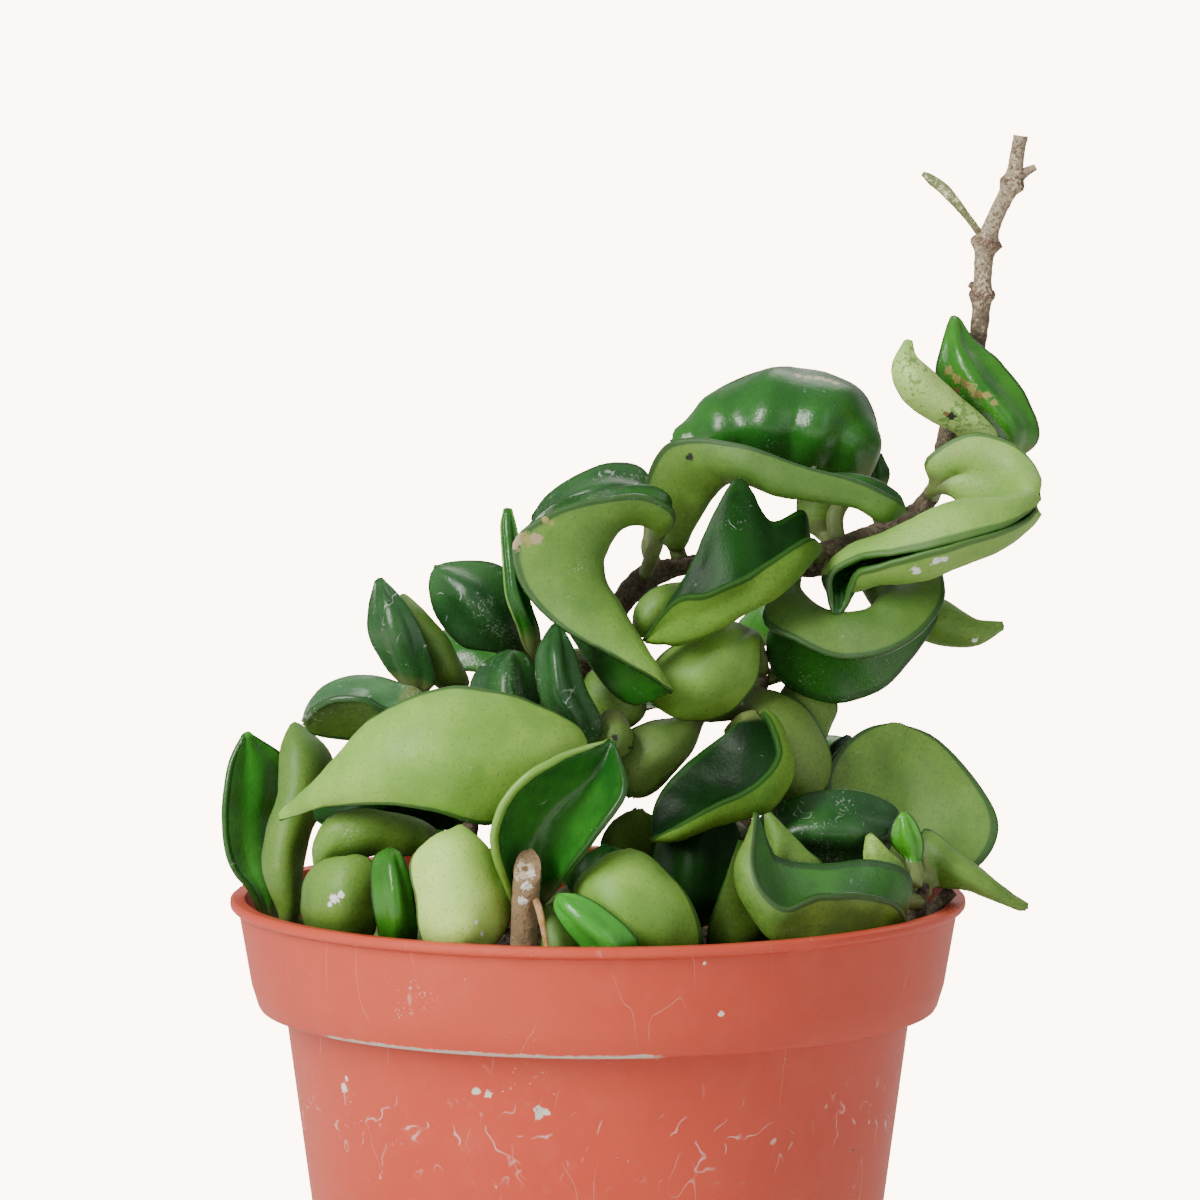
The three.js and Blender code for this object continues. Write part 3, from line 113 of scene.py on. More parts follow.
@dataclass
class Leaf:
    """A leaf's place on its stem, its stalk, its two edges and its rib, from the stalk to the tip.

    A point is x and z as the eye sees them in the plane through the pot's axis, and the depth y. The middles
    of the halves are bulged by cup where they are not given. A real leaf has true points. A turned leaf shows
    its dark face only past that share of its run. A leaf that joins another is a part of its piece.
    """

    shows: Face
    stem: str
    at: float
    one: list[Point]
    rib: list[Point]
    two: list[Point]
    tip: Point
    stalk: list[Point] = field(default_factory=list)
    one_mid: Optional[list[Point]] = None
    two_mid: Optional[list[Point]] = None
    cup: tuple[float, float] = (0.1, 0.1)
    across: Optional[Point] = None
    thick: float = 1.0
    joins: str = ""
    real: bool = False
    sign: int = 0
    turned: float = 9.0


STEMS: dict[str, list[StemPoint]] = {
    "main_vine": [
        (-6, 70, 6, 1.7), (-7.5, 86, 7, 1.6), (-8, 100, 8, 1.5), (-6, 112, 8, 1.5), (-2, 122.5, 5, 1.5),
        (2.6, 130.6, 2, 1.6), (6.5, 135.2, 1, 1.9), (11.5, 137, 2, 1.4), (17.4, 137.8, 3, 1.3),
        (25, 137.6, 2, 1.5), (31.2, 137.9, 0, 2.3), (37, 140.6, 2, 1.7), (43.2, 143.4, 4, 1.4),
        (47.6, 147.6, 7, 1.3), (49, 153.5, 10, 1.3), (50.6, 160.5, 13, 1.3), (53.4, 167.2, 14, 1.25),
        (54.2, 172.5, 14, 1.35), (54.4, 175.2, 14, 1.4), (54.5, 178.5, 14, 1.3), (55, 183, 14, 1.45),
        (56.6, 187.5, 14, 1.2), (58.6, 191.6, 14, 1.3), (59.2, 195, 14, 1.05), (59.7, 198.2, 14, 1.1)],
    "left_vine": [
        (-33, 70, 0, 1.6), (-32, 88, -4, 1.5), (-29, 100, -6, 1.4), (-25.5, 110, -7, 1.3),
        (-22, 117, -7, 1.2)],
    "front_vine": [
        (-1, 70, -16, 1.5), (-2.5, 84, -19, 1.4), (-3.5, 94, -20, 1.4), (-3, 103, -17, 1.3),
        (0.5, 111, -12, 1.1)],
    "middle_vine": [
        (16, 70, 0, 1.6), (17.5, 88, 0, 1.5), (19, 103, 0, 1.4), (21.5, 114, 0, 1.4), (23.5, 121.5, 0, 1.2)],
    "right_vine": [
        (40, 70, -8, 1.4), (42.8, 82, -11.6, 1.05), (45.8, 88, -14.6, 1), (46.6, 91.2, -16.6, 0.85)],
}
GROWN_ON: dict[str, list[list[StemPoint]]] = {
    "main_vine": [
        [(54.6, 183.6, 14, 0.6), (52.4, 186.6, 13.4, 0.55), (49.4, 190.2, 13, 0.85), (47.2, 192, 13, 0.75),
         (45.9, 192.9, 13, 0.35)],
        [(58.8, 191.6, 14, 0.9), (60.4, 193, 14, 0.7), (61.9, 193.8, 14, 0.45)],
        [(54.6, 176, 14, 0.7), (52.6, 177.3, 14, 0.5)]],
    "right_vine": [
        [(43, 82, -12, 1.2), (46.6, 86, -9, 1.1), (48.6, 88.6, -8.4, 1.05), (50.6, 90.6, -8, 1.0)]],
}
STUMP: list[StemPoint] = [(-10.6, 63, -37, 1.9), (-10.7, 78, -40.5, 1.9), (-10, 93.8, -45, 1.8)]
STUMP_STRIP: list[StemPoint] = [(-9, 89.4, -45, 0.5), (-8.3, 87.6, -47, 0.5), (-7.3, 82.5, -47, 0.4)]
# From this height the stump's top is sheared towards the front over this length, and by this slope.
SLANT_FROM = 89.0
SLANT_LENGTH = 4.8
SLANT = 1.1

LEAVES: dict[str, Leaf] = {
    "left_outer": Leaf(DARK, "left_vine", 0.9, stalk=[(-40, 83, 2), (-46.2, 85, 3)],
        one=[(-49.5, 90.4, 0), (-52.6, 95, -1), (-53.4, 101, -1), (-52.6, 108, 0)],
        rib=[(-47.4, 90, 2.5), (-48.4, 95, 3), (-48.7, 101, 3.5), (-48.4, 107.5, 3.5)],
        two=[(-44.8, 89.5, 5), (-44, 95, 7), (-43.6, 101, 8), (-43.8, 108.6, 7)], tip=(-50.2, 113.2, 2)),
    "left_twisted": Leaf(PALE, "left_vine", 1.15, stalk=[(-38, 85, -9), (-43.4, 85.6, -12)],
        one=[(-45.4, 88, -12), (-47.5, 94, -12), (-47, 99, -11), (-45.4, 104, -10), (-45, 110.5, -9)],
        rib=[(-44, 88.5, -15), (-45, 94, -16), (-44.3, 99.5, -15), (-42.9, 105, -14), (-42.6, 110.5, -12)],
        two=[(-42.8, 89, -11), (-42.3, 94, -10.5), (-41, 99.5, -10), (-38.8, 104.5, -9), (-38.2, 109.8, -8)],
        tip=(-43.2, 114.6, -8)),
    "front_arch": Leaf(PALE, "front_vine", 3.6, stalk=[(-2.6, 108.4, -21.4)],
        one=[(-3, 113.8, -27), (-12, 118.3, -31), (-22, 119.4, -33), (-32, 115, -32), (-40, 106.2, -27)],
        rib=[(-4, 110.5, -31), (-13, 110, -37), (-23, 110.5, -40), (-32, 109, -37), (-40, 104.4, -29.5)],
        two=[(-6, 106.5, -30), (-15, 100.4, -35), (-24, 102.4, -38), (-32, 103.2, -36), (-39.5, 102.7, -29)],
        tip=(-45.3, 101.2, -23)),
    "front_fold": Leaf(DARK, "front_vine", 1.65, stalk=[(-9.5, 87, -36)],
        one=[(-13.4, 92, -43), (-15, 98.5, -47.5), (-12.6, 104.5, -48), (-7, 109, -46.5)],
        rib=[(-8.6, 92, -38), (-9.4, 97.5, -38.5), (-5.8, 102.7, -39), (-0.2, 107.7, -39.5)],
        two=[(-4.4, 93, -42.5), (0, 98.8, -45.5), (3.3, 103.3, -46), (3.9, 107, -44)], tip=(1.9, 112, -39)),
    "left_hook": Leaf(PALE, "left_vine", 2.0, stalk=[(-24, 98.5, -22)],
        one=[(-26, 100.6, -22.5), (-32, 101.9, -24.5), (-37.5, 101.3, -25), (-40.3, 97.5, -24.5)],
        rib=[(-26, 98.5, -25), (-32, 99.5, -27.5), (-36.5, 99.3, -28), (-39.3, 96.5, -26.5)],
        two=[(-26, 96, -23), (-32, 95.8, -25), (-34.5, 95.3, -24), (-38, 94.3, -23.6)], tip=(-40, 93.4, -24)),
    "left_inner": Leaf(DARK, "left_vine", 2.4, stalk=[(-17.4, 104.6, -13)],
        one=[(-22, 106.8, -13.4), (-29, 106.9, -15.6), (-34, 106, -17.4), (-38, 104.5, -18)],
        rib=[(-21.6, 103, -15.6), (-28, 103, -19), (-33, 102.5, -21), (-37, 101.5, -20.5)],
        two=[(-21, 99.6, -12), (-27.5, 100.8, -15.4), (-32, 98.5, -18.6), (-36, 98.5, -18.5)],
        tip=(-40.5, 101.3, -18)),
    "front_low_left": Leaf(PALE, "left_vine", 0.62, stalk=[(-36, 81, -20)],
        one=[(-41.6, 86, -24), (-42, 90, -25.5), (-40.7, 93.2, -26)],
        rib=[(-36.8, 85, -30), (-36.8, 90, -33), (-36.5, 94, -31)],
        two=[(-32, 85, -29), (-32.4, 90, -31), (-32.4, 94.3, -30)], tip=(-35.5, 95.3, -28)),
    "front_band": Leaf(DARK, "left_vine", 0.82, stalk=[(-28.5, 79.5, -26)],
        one=[(-31, 84, -35.5), (-32, 90, -37), (-32, 94.6, -36)],
        rib=[(-28.6, 84, -38.5), (-29, 90, -40.5), (-29.7, 94.8, -38.5)],
        two=[(-26, 84, -36.5), (-26.5, 90, -38), (-27.9, 95, -37)], tip=(-29.8, 96.4, -35)),
    "front_round": Leaf(PALE, "left_vine", 1.05, stalk=[(-21, 80, -31)],
        one=[(-25, 84, -39.5), (-25.8, 90, -41), (-26.2, 95.4, -39.5)],
        rib=[(-19.5, 83, -44), (-19.5, 90, -45), (-20.5, 97, -42)],
        two=[(-14.2, 84, -38.6), (-12.6, 88.7, -38), (-15, 95, -38.8)], tip=(-19.5, 99.8, -38)),
    "front_sliver": Leaf(PALE, "front_vine", 0.78, stalk=[(-6, 78, -34)],
        one=[(-7.6, 81, -41), (-7.6, 85, -41.5)],
        rib=[(-5.4, 81, -43), (-6.4, 85, -43)],
        two=[(-2.6, 82, -41.5), (-4.8, 86, -41.5)], tip=(-7.4, 88.4, -41)),
    "front_glossy": Leaf(DARK, "front_vine", 1.1, stalk=[(3, 78, -36)],
        one=[(0, 80, -44), (-4.4, 85, -45.3), (-6, 87.6, -44.6)],
        rib=[(2.6, 81.5, -47.3), (-1.5, 86, -47.8), (-4.4, 88.4, -46.3)],
        two=[(6, 82.4, -44.7), (2.1, 86.8, -45.2), (-2, 89.4, -44.6)], tip=(-5.7, 89.7, -43.8)),
    "front_cupped": Leaf(PALE, "front_vine", 1.55, stalk=[(8, 82, -29)],
        one=[(-0.5, 84.5, -38), (-3.3, 90.3, -38), (-0.4, 94, -37)],
        rib=[(5, 83, -42), (3.2, 90, -43), (3.9, 94.6, -40)],
        two=[(14.5, 83, -36.5), (12.8, 89.2, -37.5), (8.7, 94, -37)], tip=(4.6, 96.4, -36)),
    "upper_left_dark": Leaf(DARK, "left_vine", 3.5, stalk=[(-25.6, 118.6, -12.4)],
        one=[(-30.2, 123, -13), (-32.4, 127.4, -14), (-32.3, 131.4, -13)],
        rib=[(-27, 122.4, -15.5), (-28.6, 127.2, -17), (-30, 131.6, -15.5)],
        two=[(-23.3, 121, -14.5), (-24.9, 126.8, -15.5), (-27.6, 131.8, -14.5)], tip=(-31.2, 135.2, -12)),
    "upper_left_pale": Leaf(PALE, "left_vine", 4, stalk=[(-21.2, 119.6, -8)],
        one=[(-24.2, 121.5, -10), (-27, 126.5, -10.5), (-28.8, 130, -10.5)],
        rib=[(-21.4, 121.5, -11.5), (-23.6, 126.4, -12), (-26.4, 130, -11.5)],
        two=[(-18.6, 120.5, -9), (-21.2, 125.8, -9.5), (-24.4, 130, -9.5)], tip=(-27.9, 132.8, -8.5)),
    "left_hollow": Leaf(DARK, "left_vine", 3.0, stalk=[(-22.4, 111.6, -13.5), (-25.4, 118.2, -16)],
        one=[(-29.5, 116.2, -21), (-33.2, 117.8, -22), (-37.6, 117.9, -21), (-40.8, 116, -19)],
        rib=[(-28.5, 120, -16), (-33.2, 121, -15.5), (-38, 119.9, -15.5), (-41.2, 116.9, -15.5)],
        two=[(-29, 112.7, -10.5), (-34, 112.4, -10.5), (-38.6, 112.7, -12), (-41, 113.4, -13.5)],
        tip=(-41.9, 114.7, -16)),
    "upper_round": Leaf(DARK, "main_vine", 3.5, stalk=[(-9, 122.5, -2)],
        one=[(-14, 124.8, -7.5), (-19.2, 125.8, -9), (-22.8, 130, -9), (-23.7, 134, -8)],
        rib=[(-12.2, 126.9, -9), (-16, 130.5, -12), (-19, 133.6, -12), (-21.6, 135.7, -10)],
        two=[(-11, 131, -8), (-11.5, 134.5, -8), (-14.5, 137.2, -8), (-19, 137.7, -7)], tip=(-23, 136.9, -7)),
    "upper_sliver": Leaf(DARK, "main_vine", 4.2, stalk=[(-8.2, 124.6, -9.5)],
        one=[(-11.5, 129, -14.5), (-13, 133, -15.5), (-13.4, 138, -14.5), (-13.7, 142.6, -12)],
        rib=[(-10, 129, -15), (-11.7, 133.5, -16), (-12.3, 138.2, -15), (-12.8, 142.6, -12.5)],
        two=[(-8.8, 129, -13.4), (-10.6, 134, -14), (-11.3, 138.4, -13.5), (-11.6, 142.2, -12)],
        tip=(-12.8, 145.3, -11), thick=0.6),
    "middle_round": Leaf(DARK, "main_vine", 3.2, stalk=[(-11, 114, -12)],
        one=[(-17.3, 117, -16), (-18, 120, -16.5), (-16.4, 122.8, -15.5)],
        rib=[(-12.5, 116, -20.5), (-13, 120, -21), (-13, 123, -18.5)],
        two=[(-8.6, 116.5, -15.5), (-8.8, 120.4, -15.5), (-9.9, 123.8, -14.5)], tip=(-12.6, 125, -14.5)),
    "middle_wedge": Leaf(DARK, "front_vine", 2.8, stalk=[(-7.8, 105.4, -17.8)],
        one=[(-6.6, 113, -19.5), (-8.2, 119, -20.5), (-8.6, 124, -19.5)],
        rib=[(-3, 113, -22), (-5.2, 119, -24), (-6, 124.6, -22.5)],
        two=[(0.3, 113.4, -19), (-1.9, 119.4, -20.5), (-3.7, 125.2, -19)], tip=(-6, 128.6, -17)),
    "behind_wedge": Leaf(PALE, "main_vine", 4.6, stalk=[(1.8, 123.6, -3)],
        one=[(-1.6, 120.8, -7), (-1.8, 117.5, -8)],
        rib=[(2, 120.7, -9), (2.4, 117, -10)],
        two=[(5.8, 119.8, -7), (6.5, 116.2, -8)], tip=(3, 113.2, -9)),
    "crescent": Leaf(PALE, "main_vine", 6.0, stalk=[(7.6, 138.4, -3), (8.4, 141, -4.5)],
        one=[(10.9, 144.4, -11), (6.2, 147.1, -13), (-1, 146.4, -14), (-7.5, 144.2, -14.5),
            (-11.9, 140.3, -14.5), (-10.6, 134, -16), (-5, 128.2, -18), (2, 124.4, -19.5), (7.3, 121.3, -20)],
        rib=[(7.4, 143, -8), (4.4, 143.3, -9.5), (1.6, 141.2, -10.5), (0.3, 138, -11.5),
            (0.9, 134.5, -12.5), (2.6, 131.3, -14), (4.7, 127.6, -16), (7.1, 124.1, -18), (9.2, 121.1, -19)],
        two=[(10.3, 146.2, -6), (7.2, 148.4, -6.5), (0, 147.7, -6.5), (-6.6, 145.6, -7), (-10.5, 141, -7.5),
            (-9, 134.4, -8.5), (-3.4, 126.8, -10.5), (1.2, 120.3, -12.5), (5.5, 117.4, -14)],
        tip=(10.5, 119.2, -18.5), cup=(0.08, 0.06)),
    "behind_crescent": Leaf(DARK, "main_vine", 6.4, stalk=[(7.2, 140, 4.5), (7.6, 144.6, 6)],
        one=[(6.6, 150.5, 8), (2.4, 151.7, 8), (-3, 149.8, 8), (-6.6, 147.2, 7)],
        rib=[(6, 147, 4), (1.5, 147.8, 3), (-3, 146.9, 3), (-6.6, 145.2, 4)],
        two=[(5.4, 144.6, 6), (1.2, 144.7, 6), (-3, 143.8, 6), (-6.4, 143.5, 6)], tip=(-9.2, 143.8, 7)),
    "centre_fold": Leaf(PALE, "main_vine", 10, stalk=[(30.8, 139.4, -6)],
        one=[(29.8, 141, -15), (25, 138, -19), (20.5, 135.3, -21), (15.5, 133, -21), (11.2, 132.3, -19)],
        rib=[(29.2, 137.4, -13), (25.6, 133.4, -17), (20.5, 130.2, -19), (15, 127.2, -19),
            (10.6, 126, -17.5)],
        two=[(29, 144.8, -7.5), (24.3, 143.3, -11), (20.3, 149.4, -12.5), (16.8, 145, -13),
            (12.6, 135.8, -14)],
        tip=(6.8, 126.5, -14.5), cup=(0.16, 0.06), across=(-1, 0, 0.3)),
    "centre_lobe": Leaf(PALE, "main_vine", 7.6, stalk=[(14.4, 134.2, -4)],
        one=[(9.5, 134.2, -9), (7, 133, -10), (5.5, 131, -10)],
        rib=[(9.8, 132, -10.5), (8, 130.6, -11.5), (6.8, 129, -11.5)],
        two=[(10, 129.6, -9.5), (8.6, 128.2, -10), (7.6, 127.2, -10)], tip=(5.6, 127.3, -10.5)),
    "centre_broad": Leaf(PALE, "middle_vine", 4.0, stalk=[(22, 127, -5)],
        one=[(17, 129, -9), (11.8, 126, -9.5), (8.4, 123.4, -10), (7.4, 120.6, -10)],
        rib=[(19.6, 126, -13), (16, 122.3, -14), (13, 120, -14), (10.4, 118.8, -13)],
        two=[(22.7, 126, -8.5), (22.3, 120.5, -9), (18, 116, -9.5), (12.5, 115.5, -10)], tip=(8, 117.3, -11)),
    "upper_hook": Leaf(PALE, "main_vine", 7.1, stalk=[(11.2, 139.6, 2.8)],
        one=[(8.4, 142, 3), (7, 148.5, 0), (10.5, 154.7, -6), (20, 154.4, -10), (29, 151.3, -10.5),
            (37, 149.2, -10), (41.9, 146.8, -9)],
        rib=[(12.4, 140.6, 0.5), (15.3, 146, -2.5), (19, 149.3, -6), (25, 147.7, -9.5), (31.5, 146.7, -10),
            (37, 145.6, -9.5), (40.6, 143.6, -8)],
        two=[(11.4, 142.6, 4), (10.4, 148.3, 4), (12.6, 152.5, 0), (20, 152.2, -5), (29.4, 150.4, -5.5),
            (37.6, 149.8, -5), (42.4, 147.4, -5)],
        tip=(43.9, 144.9, -6.5), cup=(0.08, 0.04)),
    "upper_dome": Leaf(DARK, "main_vine", 10.5, stalk=[(33.8, 144.6, 3.4), (36.4, 148, 4)],
        one=[(39.7, 155, 6), (36.4, 162.4, 7), (27, 165.2, 7), (18, 162.6, 7), (13, 158, 6)],
        rib=[(36.8, 154, 0), (32, 157, -3), (26, 157.8, -3), (19.4, 157, -2), (14, 155.3, 1)],
        two=[(34, 150.2, 3), (30, 150.7, 2), (25, 151.3, 2), (19, 152.5, 2), (14.5, 153, 3)],
        tip=(10.5, 154.4, 4), cup=(-0.14, -0.1)),
    "upper_small": Leaf(DARK, "main_vine", 11.6, stalk=[(39.5, 146.5, 8)],
        one=[(38.6, 150, 9), (38.6, 151.8, 9)],
        rib=[(40, 150, 8), (39.8, 151.6, 8)],
        two=[(41.2, 150.2, 9), (40.8, 151.6, 9)], tip=(39.7, 153.2, 9)),
    "behind_hook": Leaf(PALE, "main_vine", 10.6, stalk=[(32.4, 141.5, 5)],
        one=[(28.8, 143.4, 6), (28.6, 147.5, 7)],
        rib=[(31.5, 144.4, 5), (31.4, 147.8, 6)],
        two=[(34.4, 144.2, 7), (34.2, 147.5, 8)], tip=(31, 150, 9)),
    "right_lobe": Leaf(PALE, "main_vine", 12.9, stalk=[(48, 148.4, 2)],
        one=[(46.8, 152.4, 0.6), (53, 155.9, -0.6), (59.2, 154.1, -2), (62.6, 150, -5)],
        rib=[(51, 150.4, 1), (54, 150.5, -0.4), (58, 149.8, -3), (61.2, 147.8, -8)],
        two=[(50.8, 146.8, 1), (53, 143.9, 1), (57, 143.6, -1.5), (60.4, 144.6, -6.5)],
        tip=(62.4, 146.4, -9.5)),
    "right_long": Leaf(PALE, "", 0,
        one=[(62.3, 145.7, -10.6), (60.6, 144.3, -13), (57.6, 142.7, -16), (52, 141.1, -18),
            (46, 139.5, -18), (40, 138.6, -16), (36.8, 138, -14), (33.4, 136, -12.4), (32.9, 132.9, -12)],
        rib=[(62.2, 145.6, -7.4), (60.4, 144.6, -5.6), (57.6, 143, -6.5), (52, 141.3, -7.5),
            (46, 139.7, -7.5), (40, 138.2, -7), (36.6, 136.8, -7.2), (34.3, 134.9, -8.6),
            (34.1, 132.4, -10.8)],
        two=[(62.3, 145.2, -10.6), (60.6, 143.6, -13), (57.6, 142.2, -16), (52, 140.5, -18),
            (46, 138.9, -18), (40, 137.2, -16), (37, 136.3, -14.2), (35.9, 133.8, -12.6), (35.3, 131.7, -12)],
        tip=(33.9, 130.2, -12.6),
        one_mid=[(62.7, 146.6, -9.4), (61.3, 147.3, -10), (58, 146.4, -12.5), (52, 146.2, -13.5),
            (46, 143.9, -13.5), (40, 141, -12), (36, 139.4, -10.6), (32.7, 136, -10.4), (33.3, 132.8, -11.2)],
        two_mid=[(62.7, 144.8, -9.2), (60.8, 142.7, -9.6), (57.6, 140.3, -12), (52, 137.8, -13.5),
            (46, 135.6, -13.5), (40, 135, -12), (37.4, 134.2, -10.8), (35.9, 133.8, -10.4),
            (34.9, 132, -11.2)],
        turned=0.8, joins="right_lobe", sign=-1),
    "top_pale": Leaf(PALE, "main_vine", 13.4, stalk=[(54, 153.6, 5)],
        one=[(51, 156.3, 4), (46.8, 158.4, 2), (43.4, 161, 1), (41.9, 165, 1)],
        rib=[(54, 156.8, 2), (49.5, 160, 0), (45.5, 163, -1), (43.6, 166.4, 0)],
        two=[(56.4, 156, 4), (51.6, 160.7, 2), (47.6, 164.3, 1), (45, 166.8, 1)], tip=(44, 169.2, 2)),
    "top_dark": Leaf(DARK, "main_vine", 14.5, stalk=[(54.4, 154.4, 11.5), (57.6, 153, 9.5)],
        one=[(54.6, 157, 8), (50.2, 161, 7), (48.1, 164.3, 7), (48.9, 168.5, 8)],
        rib=[(59, 156, 4), (56, 160.5, 3), (53, 164.5, 4), (51, 168.5, 6)],
        two=[(62.3, 155.3, 8), (60.7, 161, 8), (56.8, 166, 9), (53, 169.3, 10)], tip=(50.5, 172.5, 11)),
    "ring": Leaf(PALE, "main_vine", 9.6, stalk=[(28, 136, -4)],
        one=[(23.6, 129.8, -12), (28, 126.6, -15), (34, 124.1, -16), (40.5, 124.6, -16), (45.6, 127.4, -14),
            (49, 132, -9), (48.8, 136, -4)],
        rib=[(28.4, 133, -8), (31.3, 130.6, -10), (35, 129.7, -11), (38.7, 130.2, -10.5), (40.8, 132.2, -9),
            (42, 134.6, -4), (43.6, 137.2, -1)],
        two=[(24.2, 126.4, -2.4), (26.4, 120.6, -3), (33, 117.8, -4), (39.8, 119.4, -4), (44.4, 123.8, -4),
            (48, 129.5, -1), (47.6, 134.6, 2)],
        tip=(46.8, 139.2, 2), cup=(0.1, 0.08)),
    "right_point": Leaf(PALE, "main_vine", 11.2, stalk=[(37.8, 137.2, 5.6)],
        one=[(40, 135.6, 5), (46, 133.4, 4), (50, 131.7, 3), (54, 129.2, 2)],
        rib=[(39.6, 133.4, 4), (45, 130.6, 2), (49.6, 128.8, 1), (54, 127.8, 1)],
        two=[(39.6, 131.2, 6), (44, 128, 5), (48.5, 126, 4), (53.2, 126, 3)], tip=(57.7, 128.6, 2)),
    "hanging_pale": Leaf(PALE, "middle_vine", 3.95, stalk=[(27.6, 121.6, 0)],
        one=[(32, 119.8, 0), (33.9, 117.2, 0), (32.8, 114, 1)],
        rib=[(28.8, 118.8, -2), (29.6, 116, -2), (30, 113, -1)],
        two=[(25.4, 117, 0), (25.8, 113.6, 0), (27.2, 111.4, 1)], tip=(30.4, 109.6, 2)),
    "hanging_olive": Leaf(PALE, "middle_vine", 3.7, stalk=[(21.6, 118.4, -4.6)],
        one=[(25.2, 119, -5), (29.6, 116.6, -5), (32.3, 112, -5), (32.8, 107.4, -6)],
        rib=[(22.8, 115, -8), (26, 112, -10), (28, 108, -10.5), (29, 105, -10)],
        two=[(22.8, 113, -5), (22.6, 108.4, -5.5), (23.2, 104.2, -6), (25, 101.6, -7)],
        tip=(30.6, 102.4, -7.5)),
    "centre_cup": Leaf(PALE, "middle_vine", 2.9, stalk=[(19.2, 113.4, -5), (21.6, 115.4, -11.5)],
        one=[(23.8, 115.6, -18), (25.7, 110.3, -22), (22.4, 105.7, -24), (16.5, 102.7, -23.5),
            (11, 99.6, -22)],
        rib=[(24.8, 114.8, -16), (26.9, 108.5, -19), (24, 102.8, -21), (17, 100.4, -21.5), (10.6, 98, -20.5)],
        two=[(19.8, 114.3, -12), (16, 111.2, -12), (12.5, 108.4, -13.5), (9.4, 105, -15),
            (7.9, 101.4, -16.5)],
        tip=(7.8, 97.8, -19), cup=(0.12, 0.08), across=(-1, 0, 0.2)),
    "drooping": Leaf(PALE, "middle_vine", 3.3, stalk=[(16.4, 116, -2), (14.4, 115.6, -6)],
        one=[(11.6, 115.3, -9), (7.2, 114.5, -11), (3.6, 112.6, -12), (2.4, 108, -12)],
        rib=[(12.4, 112.8, -11), (9, 110.6, -14), (6, 108.8, -14.5), (4.4, 106, -13.5)],
        two=[(13, 110.6, -9), (10.6, 107.8, -10.5), (8.2, 105.4, -11), (6.4, 104.4, -11.5)],
        tip=(4.6, 104.1, -12)),
    "drooping_small": Leaf(PALE, "front_vine", 3.95, stalk=[(2.2, 115.6, -14)],
        one=[(0.2, 114.6, -16), (-0.4, 112, -16.5)],
        rib=[(2.4, 113.8, -17.6), (2.2, 111.4, -18)],
        two=[(4.6, 113, -16), (4.4, 110.8, -16.4)], tip=(2.4, 109.3, -17.5)),
    "behind_low": Leaf(PALE, "front_vine", 1.9, stalk=[(1.8, 91.4, -13)],
        one=[(1.2, 94, -11.4), (0.8, 97.6, -11.6), (2.6, 100.4, -11.4)],
        rib=[(5.4, 93.4, -13), (5.6, 97.6, -13.6), (5.7, 100.6, -13.2)],
        two=[(10.4, 93.4, -11), (10.6, 97.2, -11.4), (8.6, 100.2, -11.8)], tip=(5.8, 102.3, -12.6)),
    "right_disc": Leaf(PALE, "right_vine", 1.6, stalk=[(44.4, 90.6, -8)],
        one=[(36.4, 97.6, -5), (32.4, 104.4, -4), (33.6, 109.6, -2), (37.6, 113.4, 0)],
        rib=[(44.4, 97, -3), (43.2, 103, 0), (42.6, 107.6, 1.5), (42.2, 111.6, 1.5)],
        two=[(54, 94, -5), (57, 99.6, -3), (54.4, 105.6, -1), (48.4, 112.2, 1)], tip=(42.4, 114.7, 1),
        cup=(0.02, 0.02)),
    "right_dark_back": Leaf(DARK, "middle_vine", 0.8, stalk=[(25, 88.6, -1), (31, 92.8, -1)],
        one=[(30.8, 98.6, 2), (31.4, 104, 4), (32.8, 110.4, 6)],
        rib=[(33.4, 97.4, 0), (34, 103.4, 2.4), (34.6, 109.6, 4.6)],
        two=[(36.4, 98.2, 2), (37.2, 103.4, 4.4), (37, 108.6, 7)], tip=(35.8, 112.6, 8)),
    "right_dark_long": Leaf(DARK, "middle_vine", 1.8, stalk=[(21.4, 98.4, -9)],
        one=[(26, 102.9, -15), (32, 104.7, -15.5), (38, 104.5, -15), (42.3, 102.4, -14)],
        rib=[(26, 98.6, -18.5), (31, 99, -20.5), (36.6, 99, -20), (41, 99, -17.5)],
        two=[(27, 94.6, -16), (31, 93.6, -16.5), (36, 93.6, -16.5), (40, 95, -15)], tip=(42.9, 99.6, -14)),
    "right_fold": Leaf(PALE, "right_vine", 0.9, stalk=[(44.3, 81.4, -17.5), (43.6, 82.6, -21.5)],
        one=[(43.3, 87.8, -27.9), (38, 89.9, -34), (31.5, 89.7, -38), (26, 88.2, -40), (22.4, 93.4, -38)],
        rib=[(41.2, 84.2, -25.4), (37.4, 83.2, -31), (31, 82.6, -35), (24.6, 84.6, -37), (20.4, 93, -35)],
        two=[(44.6, 92.2, -23), (39.5, 94.8, -26), (32, 94.2, -28), (26, 95, -29.5), (24.4, 96.8, -30.2)],
        tip=(22.7, 101.7, -31), cup=(0.12, 0.08), across=(-0.5, 0.5, 0.5)),
    "right_triangle": Leaf(PALE, "middle_vine", 1.4, stalk=[(25, 88, -18)],
        one=[(25, 92, -23.5), (24.6, 96, -25), (24.2, 99.4, -25)],
        rib=[(28.4, 92, -25.5), (26.6, 96, -26.5), (25, 99.4, -26)],
        two=[(32, 93.4, -23.5), (29.6, 96.2, -25), (26.6, 99.4, -25)], tip=(24.2, 101.7, -25.5)),
    "right_tip": Leaf(PALE, "right_vine", 2.6, stalk=[(47, 91.6, -12)],
        one=[(46.6, 99.2, -9), (52, 95.2, -10), (56, 92.2, -9.4), (59.2, 89.8, -8.6)],
        rib=[(48.4, 94.4, -11.5), (52.2, 93, -13), (55.6, 91.2, -12.6), (58.9, 89.2, -11)],
